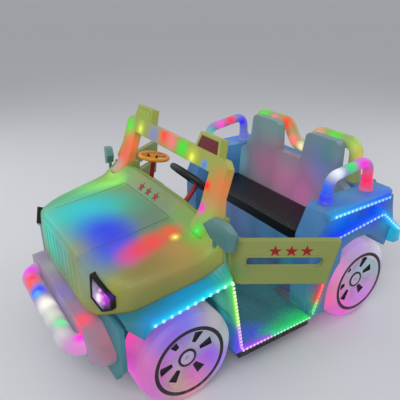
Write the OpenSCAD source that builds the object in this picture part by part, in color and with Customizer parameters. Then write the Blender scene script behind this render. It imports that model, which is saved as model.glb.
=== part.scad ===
// Two-seat battery bumper car: a moulded shell like a small open off-road car, with lit panels.
// Millimetres. X to the car's left, Y to the rear, Z up. The origin is on the floor,
// in the middle of the car's length and width.

/* [Wheels and axles] */
// Distance between the axles
wheelbase = 950; // [930:5:970]
// Y of the point midway between the axles
axle_mid_y = 58; // [50:1:66]
// Outer radius of a wheel
wheel_r = 205; // [195:1:210]
// Width of a wheel across its tread
wheel_w = 190; // [170:5:200]
// X of the flat outer face of each wheel
wheel_face_x = 541; // [536:1:550]
// Radius of the round shoulder of the tread
wheel_shoulder_r = 50; // [35:1:60]
// Radius of the dished outer face
dish_r = 132; // [120:1:145]
// Depth of the dished outer face
dish_depth = 32; // [20:1:40]
// Radius of the moulded centre boss
boss_r = 40; // [30:1:50]
// Radius to the outer end of the spoke windows
window_out_r = 116; // [112:1:119]
// Radius of the hollow on the inboard side of a wheel
hollow_r = 128; // [124:1:135]
// Depth of the hollow on the inboard side of a wheel
hollow_depth = 104; // [100:1:110]
// Radius of the stub axles
stub_r = 10; // [8:0.5:12]
// X of the kingpins, inside the hollow of the wheel
kingpin_x = 400; // [398:1:404]
// Radius of the kingpins
kingpin_r = 8; // [7:0.5:9]
// Length of the steering arms
arm_length = 90; // [80:1:95]

/* [Chassis] */
// Height of the underside of the frame rails
rail_z = 88; // [80:1:95]
// Height and width of the frame rails
rail_size = 40; // [34:1:42]
// X of the middle of each frame rail
rail_x = 200; // [190:5:220]
// Front end of the frame
frame_front_y = -650; // [-655:5:-640]
// Rear end of the frame
frame_rear_y = 720; // [700:5:740]

/* [Body] */
// Half of the width of the body
body_half_w = 541; // [538:1:546]
// Thickness of the moulded walls
wall = 12; // [9:1:14]
// Thickness of the floor
floor_t = 14; // [10:1:18]
// Height of the sills over the floor
sill_h = 10; // [6:1:16]
// X of the inner wall of the wheel housings
housing_x = 276; // [270:1:280]
// Y of the dash wall in front of the cabin
dash_y = -240; // [-244:1:-236]
// Running gap between wheel and arch
arch_gap = 24; // [22:1:30]
// Height of the front fender's lip above the floor plane
fender_lip_z = 440; // [436:1:444]
// Height of the rear deck
deck_z = 640; // [630:1:660]
// Y of the rear end of the deck
deck_rear_y = 735; // [730:1:740]
// Y of the front edge of the rear side walls
side_front_y = 222; // [218:1:232]
// X of the inner face of the rear side walls
side_inner_x = 405; // [402:1:410]

/* [Hood and windscreen] */
// Y of the front face of the hood
hood_front_y = -704; // [-712:1:-700]
// Height of the cowl's rear edge
cowl_z = 702; // [698:1:706]
// Number of flutes in the grille
flute_count = 8; // [6:1:9]
// Width of the area of the grille's flutes
grille_w = 400; // [360:10:420]
// Rake of the windscreen frame from the vertical, in degrees
screen_rake = 18; // [14:1:22]
// Half of the outer width of the windscreen frame
screen_half_w = 420; // [412:1:428]
// Width of the windscreen pillars
pillar_w = 101; // [94:1:106]
// Length of the windscreen frame along its rake
screen_h = 236; // [226:1:244]
// Height of the windscreen's top rail along its rake
rail_h = 68; // [56:1:76]
// Thickness of the windscreen frame
screen_t = 36; // [30:1:42]

/* [Seat] */
// Width of the seat cushion
cushion_w = 790; // [760:5:796]
// Depth of the seat cushion
cushion_d = 262; // [250:1:264]
// Thickness of the seat cushion
cushion_t = 62; // [50:1:70]
// Height of the top of the seat base
seat_z = 425; // [415:1:435]
// Y of the front of the seat base
seat_front_y = 250; // [244:1:256]
// Half of the distance between the middles of the humps
hump_x = 206; // [200:1:212]
// Thickness of the seat back
seat_back_t = 48; // [40:1:52]
// Lean of the seat back, in degrees
seat_lean = 4; // [3:0.5:5]

/* [Tubes and bumpers] */
// Radius of the front bumper tube
bumper_tube_r = 40; // [34:1:42]
// Height of the middle of the front bumper tube
bumper_tube_z = 270; // [266:1:276]
// Half of the width over the front bumper tube's ends
bumper_tube_half_w = 305; // [295:1:315]
// Front face of the front bumper tube
nose_y = -830; // [-834:1:-826]
// Rear face of the rear bumper
tail_y = 830; // [826:1:834]
// Radius of the roll hoop's tube
hoop_r = 32; // [26:1:34]
// X of the roll hoop's legs
hoop_x = 350; // [344:1:360]
// Y of the roll hoop
hoop_y = 626; // [624:1:634]
// Radius of the grab rails' tubes
grab_r = 24; // [20:1:26]
// X of the grab rails
grab_x = 455; // [448:1:460]

/* [Doors] */
// Opening angle of the doors as the car stands, in degrees
door_ajar = 33; // [0:1:60]
// Length of a door's top edge behind its curved end
door_len = 356; // [340:1:360]
// Height of the bottom of the doors
door_z = 462; // [458:1:466]
// Height of a door
door_h = 186; // [180:1:190]
// Thickness of a door
door_t = 30; // [24:1:34]
// X of the outer face of a closed door
door_face_x = 516; // [512:1:520]
// X of the hinge line of the doors
hinge_x = 478; // [474:1:482]
// Y of the hinge line of the doors
hinge_y = -200; // [-204:1:-198]
// Radius of the hinge pins
hinge_pin_r = 6; // [5:0.5:7]
// Gap between a door and its hinge lugs
lug_gap = 6; // [5.5:0.5:8]

/* [Steering] */
// Radius of the driver's steering wheel
steer_wheel_r = 140; // [125:1:145]
// Radius of the passenger's play wheel
toy_wheel_r = 78; // [70:1:85]
// Tilt of the driver's column from the vertical, in degrees
column_tilt = 42; // [39:1:45]
// Tilt of the play wheel's column from the vertical, in degrees
toy_tilt = 10; // [8:1:14]
// Radius of the steering columns
column_r = 11; // [9:0.5:13]

/* [Hidden] */

$fn = 48;

// Small gap between bodies that rest on each other, and between pins and bores
seat_gap = 0.3;

front_axle_y = axle_mid_y - wheelbase / 2;
rear_axle_y = axle_mid_y + wheelbase / 2;
axle_z = wheel_r;
wheel_in_x = wheel_face_x - wheel_w;
web_x = wheel_in_x + hollow_depth;
rail_top = rail_z + rail_size;
floor_z = rail_top + seat_gap;
floor_top = floor_z + floor_t;

// A copy of the children on each side of the middle
module both_sides() {
    children();
    mirror([1, 0, 0]) children();
}

// A block between two corners
module block(a, b) {
    translate(a) cube(b - a);
}

// A closed outline with its outer corners rounded to radius r
module rounded(r) {
    offset(r, $fn = 24) offset(-r) children();
}

// A slab along X whose Y-Z outline is given by points [y, z]
module side_slab(x0, x1, points) {
    translate([x0, 0, 0])
        rotate([90, 0, 90])
            linear_extrude(x1 - x0) polygon(points);
}

// A slab along Y whose X-Z outline is given by points [x, z]
module cross_slab(y0, y1, points) {
    translate([0, y1, 0])
        rotate([90, 0, 0])
            linear_extrude(y1 - y0) polygon(points);
}

// A closed body through rings of points, each ring with the same count
module loft(rings) {
    n = len(rings[0]);
    last = len(rings) - 1;
    faces = concat(
        [for (i = [0:last - 1]) for (k = [0:n - 1]) let (m = (k + 1) % n)
            [i * n + k, (i + 1) * n + k, (i + 1) * n + m, i * n + m]],
        [[for (k = [0:n - 1]) k]],
        [[for (k = [n - 1:-1:0]) last * n + k]]);
    polyhedron([for (ring = rings) for (p = ring) p], faces, convexity = 6);
}

function unit(v) = v / norm(v);

// The points of a path in one plane, with each inner corner rounded to bend_r
bend_steps = 6;
function rounded_corner(p, q, s, bend_r) =
    let (u = unit(q - p), v = unit(s - q), turn = acos(u * v),
         side = unit(v - u * (u * v)), start = q - u * bend_r * tan(turn / 2))
    [for (i = [0:bend_steps]) let (a = turn * i / bend_steps)
        start + u * bend_r * sin(a) + side * bend_r * (1 - cos(a))];
function rounded_path(points, bend_r) =
    let (last = len(points) - 1)
    concat([points[0]],
        [for (i = [1:last - 1])
            each rounded_corner(points[i - 1], points[i], points[i + 1], bend_r)],
        [points[last]]);

// A round tube along a path that lies in the plane with the given normal
tube_sides = 20;
module swept_tube(path, r, normal) {
    last = len(path) - 1;
    loft([for (i = [0:last])
        let (t = unit(path[min(i + 1, last)] - path[max(i - 1, 0)]), e = cross(t, normal))
        [for (k = [0:tube_sides - 1]) let (a = 360 * k / tube_sides)
            path[i] + r * (cos(a) * e + sin(a) * normal)]]);
}

// A round tube through points in the horizontal plane, made of straight runs and bends
module flat_bent_tube(points, bend_r, r) {
    last = len(points) - 1;
    for (i = [0:last - 1]) {
        p = points[i];
        q = points[i + 1];
        u = unit(q - p);
        a = i == 0 ? p : p + u * bend_r;
        b = i == last - 1 ? q : q - u * bend_r;
        translate(a)
            rotate([90, 0, atan2(u[1], u[0]) + 90])
                cylinder(h = norm(b - a), r = r);
    }
    for (i = [1:last - 1]) {
        u = unit(points[i] - points[i - 1]);
        v = unit(points[i + 1] - points[i]);
        translate(points[i] + bend_r * (v - u))
            rotate([0, 0, atan2(-v[1], -v[0]) - (cross(u, v)[2] > 0 ? 0 : 90)])
                rotate_extrude(angle = 90) translate([bend_r, 0]) circle(r);
    }
}

// Chassis: two rails, cross members and the dark rub rails under the sills
cross_ys = [frame_front_y, -500, -176, 130, 400, 600, frame_rear_y - rail_size];
outrigger_ys = [-176, 130];
rub_rail_x = body_half_w - 40;
outrigger_h = rail_size - 10;
module chassis_frame() {
    color([0.06, 0.06, 0.07]) {
        both_sides()
            block([rail_x - rail_size / 2, frame_front_y, rail_z],
                [rail_x + rail_size / 2, frame_rear_y, rail_top]);
        for (y = cross_ys)
            block([-rail_x, y, rail_z], [rail_x, y + rail_size, rail_top]);
        for (y = outrigger_ys)
            both_sides()
                block([rail_x, y, rail_z], [rub_rail_x + 2, y + rail_size, rail_z + outrigger_h]);
        both_sides()
            block([rub_rail_x, outrigger_ys[0], rail_z],
                [rub_rail_x + 32, side_front_y - 6, rail_z + outrigger_h]);
    }
}

// Hood sections from the front to the cowl: y, half width and height of the lower
// edge, height of the side crease, half width and height of the shoulder, height of
// the top panel
SECTION_Y = 0;
HALF_W = 1;
EDGE_Z = 2;
CREASE_Z = 3;
SHOULDER_X = 4;
SHOULDER_Z = 5;
TOP_Z = 6;
hood_sections = [
    [hood_front_y, 236, 378, 432, 208, 562, 580],
    [hood_front_y + 4, 268, 385, 436, 228, 570, 590],
    [-694, 312, 396, 442, 262, 575, 596],
    [-684, 346, 410, 449, 286, 578, 600],
    [-666, 379, 425, 458, 298, 580, 604],
    [-641, 411, 440, 474, 306, 583, 608],
    [-600, 440, 449, 504, 317, 587, 612],
    [-560, 451, 458, 526, 327, 591, 616],
    [-500, 462, 474, 546, 336, 598, 622],
    [-420, 473, 490, 565, 344, 610, 632],
    [-335, 484, 510, 582, 350, 624, 643],
    [-304, 488, 520, 592, 352, 636, 648],
    [-270, 494, 541, 610, 355, 664, 680],
    [dash_y, 500, 560, 625, 358, 688, cowl_z]];
cowl_row = hood_sections[len(hood_sections) - 1];

// Sections with one more between each two, on a smooth curve through their
// neighbours; and rows with their averages between them
function slope(t, i, k) =
    let (a = t[max(i - 1, 0)], b = t[min(i + 1, len(t) - 1)])
    (b[k] - a[k]) / (b[SECTION_Y] - a[SECTION_Y]);
function middle(t, i) =
    let (a = t[i], b = t[i + 1], h = b[SECTION_Y] - a[SECTION_Y])
    [for (k = [0:len(a) - 1]) (a[k] + b[k]) / 2
        + (k == SECTION_Y ? 0 : h / 8 * (slope(t, i, k) - slope(t, i + 1, k)))];
function with_middles(t) =
    [for (i = [0:len(t) - 1]) each i < len(t) - 1 ? [t[i], middle(t, i)] : [t[i]]];
function with_averages(t) =
    [for (i = [0:len(t) - 1]) each i < len(t) - 1 ? [t[i], (t[i] + t[i + 1]) / 2] : [t[i]]];
shell_sections = with_middles(hood_sections);

// Half outline from the lower edge over the crease to the middle, as [x, z],
// drawn in by the thickness t
panel_x = 213;
shoulder_steps = 8;
function bezier(a, b, c, t) = (1 - t) * (1 - t) * a + 2 * t * (1 - t) * b + t * t * c;
function half_outline(s, t) =
    let (foot = [s[HALF_W] - t, s[EDGE_Z]],
         crease = [s[HALF_W] - 3 - t, s[CREASE_Z]],
         top = [s[SHOULDER_X] - t / 2, s[SHOULDER_Z] - t],
         corner = [s[HALF_W] - 12 - t, s[SHOULDER_Z] - 8 - t],
         panel = [min(panel_x, s[SHOULDER_X] - 12), s[TOP_Z] - t])
    concat([foot], [for (i = [0:shoulder_steps]) bezier(crease, corner, top, i / shoulder_steps)],
        [panel, [panel[0] / 2, panel[1] + 3]]);
function outline(s, t) =
    let (half = half_outline(s, t), n = len(half))
    concat(half, [[0, s[TOP_Z] - t + 4]],
        [for (i = [n - 1:-1:0]) [-half[i][0], half[i][1]]]);

// A shell over the sections, open below and at the rear, as one closed surface
module section_shell(sections, t, front_t) {
    rows = len(sections);
    cols = len(outline(sections[0], 0));
    inner = [for (i = [0:rows - 1]) let (s = sections[i])
        [max(s[SECTION_Y], sections[0][SECTION_Y] + front_t + 0.4 * i),
            for (k = [HALF_W:TOP_Z]) s[k]]];
    points = concat(
        [for (s = sections) for (p = outline(s, 0)) [p[0], s[0], p[1]]],
        [for (s = inner) for (p = outline(s, t)) [p[0], s[0], p[1]]]);
    m = rows * cols;
    skin = [for (i = [0:rows - 2]) for (j = [0:cols - 2]) [i, j]];
    faces = concat(
        [for (c = skin) let (a = c[0] * cols + c[1]) [a, a + 1, a + cols + 1, a + cols]],
        [for (c = skin) let (a = m + c[0] * cols + c[1]) [a + cols, a + cols + 1, a + 1, a]],
        [[for (j = [cols - 1:-1:0]) j]],
        [[for (j = [0:cols - 1]) m + j]],
        [for (j = [0:cols - 2]) let (a = (rows - 1) * cols + j)
            [a, a + 1, m + a + 1, m + a]],
        [for (i = [0:rows - 2]) let (a = i * cols) [a, a + cols, m + a + cols, m + a]],
        [for (i = [0:rows - 2]) let (a = i * cols + cols - 1)
            [a + cols, a, m + a, m + a + cols]],
        [[0, m, m + cols - 1, cols - 1]]);
    polyhedron(points, faces, convexity = 6);
}

// Hood shell with its cowl, the fluted grille and the openings of the headlamps
flute_r = 16;
module front_shell() {
    color([0.45, 0.6, 0.3])
        difference() {
            section_shell(shell_sections, wall, 2 * wall);
            for (i = [0:flute_count - 1])
                translate([(i - (flute_count - 1) / 2) * grille_w / flute_count,
                        hood_front_y - 0.6 * flute_r, 406])
                    cylinder(h = 150, r = flute_r);
            both_sides()
                on_lamp()
                    translate([0, 0, -70])
                        linear_extrude(120) offset(delta = seat_gap) polygon(lamp_points);
            both_sides()
                translate([stalk_x, mirror_y, 500]) cylinder(h = 300, r = stalk_r + seat_gap);
        }
}

// Fender rows beside the hood rows from the sixth on: x of the outer edge, heights
// of its top and of its lip
fender_rows = [
    [488, 434, 420],
    [body_half_w, 448, fender_lip_z - 44],
    [body_half_w, 458, fender_lip_z - 9],
    [body_half_w, 468, fender_lip_z + 1],
    [body_half_w, 481, fender_lip_z + 15],
    [body_half_w, 495, fender_lip_z + 29],
    [body_half_w, 500, fender_lip_z + 34],
    [body_half_w, 506, fender_lip_z + 40],
    [body_half_w, 512, fender_lip_z + 46]];
first_fender_row = 5;
fender_sections = with_averages(fender_rows);
flange = 26;
function fender_ring(i) =
    let (s = shell_sections[i + 2 * first_fender_row], f = fender_sections[i],
         y = s[SECTION_Y], x = s[HALF_W], z = s[EDGE_Z] - seat_gap)
    [[x - flange, y, z], [x + 1, y, z], [f[0] - 9, y, f[1] + 5], [f[0], y, f[1]],
     [f[0], y, f[2]], [f[0] - wall, y, f[2]], [f[0] - wall, y, f[1] - 8],
     [x, y, z - wall], [x - flange, y, z - wall]];

// Outline of the wall between the front wheel and the door opening, as [y, z]
opening_foot_y = -164;
opening_top_z = 488;
dash_rear_y = dash_y + wall;
module arch_cut(x0, axle_y) {
    translate([x0, axle_y, axle_z])
        rotate([0, 90, 0]) cylinder(h = 300, r = wheel_r + arch_gap, $fn = 96);
}

// Lower body: floor, sills, dash wall, wheel housings and front fenders
module body_tub() {
    color([0.2, 0.62, 0.66])
        difference() {
            union() {
                block([-housing_x - wall, dash_y + 1, floor_z],
                    [housing_x + wall, rear_axle_y - 33, floor_top]);
                both_sides() {
                    block([housing_x, -190, floor_z], [body_half_w, side_front_y - 12, floor_top]);
                    // Inner wall of the wheel housing
                    block([housing_x, -660, floor_z], [housing_x + wall, dash_y + 1, 520]);
                    // Wall between the wheel and the door opening
                    difference() {
                        side_slab(housing_x, body_half_w, [
                            [-250, floor_z], [opening_foot_y, floor_z],
                            [opening_foot_y, floor_top], [dash_rear_y, opening_top_z],
                            [-250, opening_top_z]]);
                        arch_cut(housing_x + wall, front_axle_y);
                    }
                    loft([for (i = [0:len(fender_sections) - 1]) fender_ring(i)]);
                }
                // Dash wall, closed up to the outline of the cowl
                cross_slab(dash_y + seat_gap, dash_rear_y, concat(
                    [[body_half_w, opening_top_z - 2], [body_half_w, 512],
                     [body_half_w - 9, 517]],
                    outline(cowl_row, 0),
                    [[9 - body_half_w, 517], [-body_half_w, 512],
                     [-body_half_w, opening_top_z - 2]]));
                block([-housing_x - 1, dash_y + seat_gap, floor_z],
                    [housing_x + 1, dash_rear_y, opening_top_z]);
                // Bases of the windscreen pillars
                both_sides()
                    block([pillar_in_x - 12, dash_rear_y - 1, 570],
                        [hinge_x - 28, dash_rear_y + 50, pillar_z]);
                // Hinge lugs and pins of the doors
                both_sides() {
                    translate([hinge_x, hinge_y, door_z - lug_gap - lug_t])
                        cylinder(h = door_h + 2 * (lug_gap + lug_t), r = hinge_pin_r);
                    translate([0, 0, door_z - lug_gap - lug_t])
                        linear_extrude(lug_t) lug_outline(hinge_x - 14);
                    translate([0, 0, door_z + door_h + lug_gap])
                        linear_extrude(lug_t) lug_outline(hinge_x - 61);
                }
                // Front valance under the hood
                cross_slab(valance_y, valance_y + 1.5 * wall, [
                    [-400, floor_z], [400, floor_z], [480, 234], [480, 420], [-480, 420],
                    [-480, 234]]);
                // Boss of the driver's column and ledge of the play column
                on_column(column_x, column_tilt)
                    translate([0, 0, -156]) cylinder(h = 34, r = 26);
                block([-toy_x - 55, dash_rear_y - 1, 590], [55 - toy_x, -112, 606]);
            }
            // Openings for the front axle and the tie rod
            block([-housing_x - 2 * wall, front_axle_y - 43, 0],
                [housing_x + 2 * wall, front_axle_y + arm_length + 27, axle_z + 45]);
            // Bores of the columns
            on_column(column_x, column_tilt)
                translate([0, 0, -300]) cylinder(h = 300, r = column_r + seat_gap);
            on_column(-toy_x, toy_tilt)
                translate([0, 0, -170]) cylinder(h = 150, r = column_r + seat_gap);
        }
}
lug_t = 12;
module lug_outline(x0) {
    polygon([[x0, dash_rear_y - 2], [hinge_x + 14, dash_rear_y - 2],
        [hinge_x + 14, hinge_y + 8], [hinge_x + 8, hinge_y + 14],
        [hinge_x - 8, hinge_y + 14], [x0, hinge_y]]);
}

// Y of the sloping rear edge of the side walls at height z
tail_low_z = 330;
tail_slope = 0.295;
function tail_edge_y(z) = deck_rear_y + (z - tail_low_z) * tail_slope;

// Rear body: side walls, fenders, lips and deck around the seat
corner_r = 56;
module rear_body() {
    wall_x = body_half_w - 36;
    color([0.25, 0.5, 0.85])
        difference() {
            union() {
                both_sides() {
                    side_slab(side_inner_x, wall_x, [
                        [side_front_y - 10, floor_z], [side_front_y - 6, 500],
                        [side_front_y + 49, 624], [side_front_y + 66, deck_z],
                        [deck_rear_y - 30, deck_z], [deck_rear_y, 610], [deck_rear_y + 12, 540],
                        [tail_edge_y(452), 452], [deck_rear_y, tail_low_z]]);
                    // Panel in front of the wheel
                    side_slab(wall_x - 1, body_half_w, [
                        [side_front_y + 2, floor_z], [side_front_y + 24, 202],
                        [side_front_y + 47, 293], [side_front_y + 66, 500],
                        [side_front_y + 150, 510], [side_front_y + 150, floor_z]]);
                    // Lower lip, over the wheel and down behind it
                    side_slab(wall_x - 1, body_half_w, [
                        [side_front_y + 62, 486], [side_front_y + 130, 494], [620, 525],
                        [deck_rear_y + 24, 414 + seat_gap], [deck_rear_y + 45, 430],
                        [640, 557], [side_front_y + 130, 524], [side_front_y + 66, 516]]);
                    // Upper lip
                    side_slab(wall_x - 1, body_half_w, [
                        [side_front_y + 46, 602], [deck_rear_y - 36, 606],
                        [deck_rear_y - 28, 626], [deck_rear_y - 40, deck_z],
                        [side_front_y + 72, deck_z], [side_front_y + 50, 626]]);
                }
                // Deck and tail wall
                block([-side_inner_x - 1, 590, deck_z - 30],
                    [side_inner_x + 1, deck_rear_y - 8, deck_z]);
                block([-side_inner_x - 1, deck_rear_y - 26, 330],
                    [side_inner_x + 1, deck_rear_y, deck_z - 12]);
            }
            // Rear corners of the deck, round in plan
            both_sides()
                translate([body_half_w - corner_r, deck_rear_y - 28 - corner_r, deck_z - 42])
                    difference() {
                        cube([corner_r + 1, corner_r + 40, 60]);
                        translate([0, 0, -1]) cylinder(h = 62, r = corner_r);
                    }
            // Wheel arches
            both_sides() arch_cut(wheel_in_x - arch_gap, rear_axle_y);
            both_sides()
                block([wheel_in_x - arch_gap, rear_axle_y - wheel_r - arch_gap, 0],
                    [2 * body_half_w, rear_axle_y + wheel_r + arch_gap, axle_z]);
        }
}

// The plane of the windscreen: its foot is on the cowl and it leans back
pillar_in_x = screen_half_w - pillar_w;
pillar_z = cowl_z + 2;
column_x = pillar_in_x - steer_wheel_r - 21;
toy_x = pillar_in_x - toy_wheel_r - 1;
module on_screen() {
    translate([0, dash_y + 2, cowl_z - 10])
        rotate([90 - screen_rake, 0, 0]) children();
}

module windscreen_frame() {
    box_low = screen_h - 12;
    box_high = screen_h + 64;
    foot_x = hinge_x - 29;
    color([0.55, 0.6, 0.3])
        difference() {
            union() {
                on_screen()
                    translate([0, 0, -screen_t])
                        linear_extrude(screen_t)
                            rounded(12)
                                difference() {
                                    polygon([
                                        [-foot_x, -20], [6 - foot_x, 30],
                                        [-screen_half_w, 96], [-screen_half_w, screen_h - 26],
                                        [-screen_half_w + 30, screen_h],
                                        [screen_half_w - 30, screen_h],
                                        [screen_half_w, screen_h - 26], [screen_half_w, 96],
                                        [foot_x - 6, 30], [foot_x, -20]]);
                                    polygon([
                                        [-pillar_in_x, -60], [-pillar_in_x, screen_h - rail_h],
                                        [pillar_in_x, screen_h - rail_h], [pillar_in_x, -60]]);
                                }
                both_sides()
                    on_screen()
                        translate([0, 0, -screen_t])
                            linear_extrude(screen_t)
                                polygon([[186, box_low], [204, box_high], [342, box_high],
                                    [358, box_low]]);
            }
            block([-600, -400, 500], [600, 0, pillar_z + seat_gap]);
            both_sides()
                on_screen()
                    translate([0, 0, -4])
                        linear_extrude(10) offset(delta = seat_gap) lamp_panel_outline();
        }
}

// Panels let into the fronts of the two boxes on the windscreen
module lamp_panel_outline() {
    polygon([[204, screen_h + 4], [218, screen_h + 51], [328, screen_h + 51],
        [340, screen_h + 4]]);
}
module lamp_panels() {
    color([0.4, 0.05, 0.08])
        both_sides()
            on_screen()
                translate([0, 0, -4 + seat_gap]) linear_extrude(5) lamp_panel_outline();
}

// The plane of a headlamp: turned out and leaning back
lamp_yaw = 30;
lamp_lean = 12;
lamp_points = [[0, 0], [96, -69], [98, -112], [58, -130], [6, -90], [-2, -9]];
bezel_w = 6;
bezel_out = 4;
lens_gap = 0.4;
module on_lamp() {
    translate([325, -690, 581])
        rotate([0, 0, lamp_yaw])
            rotate([90 - lamp_lean, 0, 0]) children();
}

module headlamp_bezels() {
    color([0.05, 0.05, 0.06])
        both_sides()
            on_lamp()
                translate([0, 0, -32])
                    linear_extrude(32 + bezel_out)
                        difference() {
                            polygon(lamp_points);
                            offset(delta = -bezel_w) polygon(lamp_points);
                        }
}

module headlamp_lenses() {
    color([0.9, 0.85, 0.95])
        both_sides()
            on_lamp()
                translate([0, 0, -28])
                    linear_extrude(28) offset(delta = -bezel_w - lens_gap) polygon(lamp_points);
}

// Mirror housings on short stalks let into the hood
mirror_y = -266;
stalk_x = 476;
stalk_r = 8;
module mirrors() {
    color([0.3, 0.5, 0.45])
        both_sides() {
            translate([stalk_x, mirror_y, 0])
                rotate([0, 0, 15])
                    difference() {
                        cross_slab(-17, 17, [[-44, 712], [-34, 702], [-8, 668], [76, 632],
                            [90, 638], [97, 696], [90, 706], [60, 732], [-2, 742], [-14, 738]]);
                        // Outer end drawn back
                        block([72, -40, 600], [120, -17, 760]);
                        translate([72, -17, 600])
                            rotate([0, 0, 35]) block([0, -40, 0], [60, 0, 160]);
                    }
            translate([stalk_x, mirror_y, 606]) cylinder(h = 84, r = stalk_r);
        }
}

// Moulded beam that carries the bumper tube
valance_y = -664;
beam_front_y = -745;
beam_bend_r = 26;
tube_root_y = beam_front_y + 45;
module front_bumper() {
    color([0.9, 0.9, 0.92])
        difference() {
            intersection() {
                translate([0, 0, 232])
                    linear_extrude(118)
                        rounded(beam_bend_r)
                            polygon([[-430, -600], [-430, -694], [-380, beam_front_y],
                                [380, beam_front_y], [430, -694], [430, -600]]);
                // Ends lower than the middle
                cross_slab(beam_front_y - 1, valance_y - seat_gap, [
                    [-418, 231], [418, 231], [431, 256], [431, 292], [308, 351],
                    [-308, 351], [-431, 292], [-431, 256]]);
            }
            bent_bumper_tube(tube_root_y, bumper_tube_r + seat_gap);
        }
}

module bent_bumper_tube(root, r) {
    z = bumper_tube_z;
    front = nose_y + bumper_tube_r;
    flat_bent_tube([
        [bumper_tube_half_w, root, z], [bumper_tube_half_w, front, z],
        [-bumper_tube_half_w, front, z], [-bumper_tube_half_w, root, z]], 70, r);
}
module bumper_tube() {
    color([0.85, 0.6, 0.9]) bent_bumper_tube(tube_root_y - seat_gap, bumper_tube_r);
}

module rear_bumper() {
    color([0.15, 0.6, 0.85])
        difference() {
            translate([0, 0, 350])
                linear_extrude(64)
                    polygon([[-500, deck_rear_y + seat_gap], [-body_half_w, deck_rear_y + 20],
                        [-body_half_w, tail_y - 40], [-490, tail_y], [490, tail_y],
                        [body_half_w, tail_y - 40], [body_half_w, deck_rear_y + 20],
                        [500, deck_rear_y + seat_gap]]);
            both_sides() arch_cut(wheel_in_x - arch_gap, rear_axle_y);
            both_sides()
                side_slab(side_inner_x - 1, body_half_w + 1, [[deck_rear_y - 20, 300],
                    [tail_edge_y(300) + seat_gap + 0.1, 300],
                    [tail_edge_y(452) + seat_gap + 0.1, 452], [deck_rear_y - 20, 452]]);
        }
}

module seat_base() {
    outer = side_inner_x - seat_gap;
    inner = wheel_in_x - arch_gap - 7;
    low = floor_top + seat_gap;
    rear = rear_axle_y - 43;
    color([0.25, 0.45, 0.7]) {
        block([-outer, seat_front_y, low], [outer, seat_front_y + wall, seat_z]);
        block([-outer, seat_front_y, seat_z - 8], [outer, 575, seat_z]);
        both_sides()
            block([inner - wall, seat_front_y, low], [inner, rear, seat_z]);
        block([-inner, rear - wall, low], [inner, rear, seat_z]);
    }
}

module seat_cushion() {
    color([0.06, 0.05, 0.07])
        block([-cushion_w / 2, seat_front_y - 6, seat_z + seat_gap],
            [cushion_w / 2, seat_front_y - 6 + cushion_d, seat_z + seat_gap + cushion_t]);
}

seat_back_y = seat_front_y + 263;
back_half_w = 395;
hump_half_w = 104;
module seat_back() {
    color([0.5, 0.6, 0.65])
        difference() {
            translate([0, seat_back_y, seat_z - 12])
                rotate([90 - seat_lean, 0, 0])
                    translate([0, 0, -seat_back_t])
                        linear_extrude(seat_back_t)
                            rounded(20)
                                polygon([
                                    [-back_half_w, -30], [-back_half_w, 214], [-350, 240],
                                    [-hump_x - 112, 290], [-hump_x - hump_half_w, 410],
                                    [-hump_x - 84, 424], [-hump_x + 84, 424],
                                    [-hump_x + hump_half_w, 408], [-86, 278], [86, 278],
                                    [hump_x - hump_half_w, 408], [hump_x - 84, 424],
                                    [hump_x + 84, 424], [hump_x + hump_half_w, 410],
                                    [hump_x + 112, 290], [350, 240], [back_half_w, 214],
                                    [back_half_w, -30]]);
            block([-back_half_w - 5, 400, 300], [back_half_w + 5, 700, seat_z + seat_gap]);
        }
}

module roll_hoop() {
    top = 820;
    foot = deck_z + seat_gap;
    color([0.6, 0.8, 0.4])
        swept_tube(rounded_path([
            [hoop_x, hoop_y, foot], [hoop_x, hoop_y, top],
            [112, hoop_y, top], [44, hoop_y, 722], [-44, hoop_y, 722], [-112, hoop_y, top],
            [-hoop_x, hoop_y, top], [-hoop_x, hoop_y, foot]], 46),
            hoop_r, [0, 1, 0]);
}

module grab_rails() {
    foot = deck_z + seat_gap;
    color([0.4, 0.6, 0.95])
        both_sides()
            difference() {
                swept_tube(rounded_path([
                    [grab_x, 329, foot - 10], [grab_x, 342, 752], [grab_x, 585, 788],
                    [grab_x, 592, foot - 10]], 50),
                    grab_r, [1, 0, 0]);
                block([grab_x - 60, 200, foot - 40], [grab_x + 60, 700, foot]);
            }
}

// Lit strips: narrow lenses along the lips
strip_w = 9;
module strip(points) {
    last = len(points) - 1;
    for (i = [0:last - 1]) {
        p = points[i];
        q = points[i + 1];
        n = unit([q[1] - p[1], p[0] - q[0]]) * strip_w / 2;
        side_slab(body_half_w + seat_gap, body_half_w + 6,
            [p - n, p + n, q + n, q - n]);
    }
}
module fender_strips() {
    color([0.3, 0.9, 1])
        both_sides()
            strip([[-558, fender_lip_z + 3], [-335, fender_lip_z + 39],
                [dash_y + 6, fender_lip_z + 54]]);
}
module sill_strips() {
    color([0.5, 1, 0.5])
        both_sides()
            strip([[opening_foot_y - 6, floor_z + 8], [side_front_y - 14, floor_z + 8]]);
}
module rear_strips() {
    color([0.3, 0.6, 1])
        both_sides() {
            strip([[side_front_y + 76, 505], [side_front_y + 130, 508], [630, 541],
                [deck_rear_y + 33, 425]]);
            strip([[side_front_y + 80, 616], [deck_rear_y - 86, 620]]);
        }
}

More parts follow.
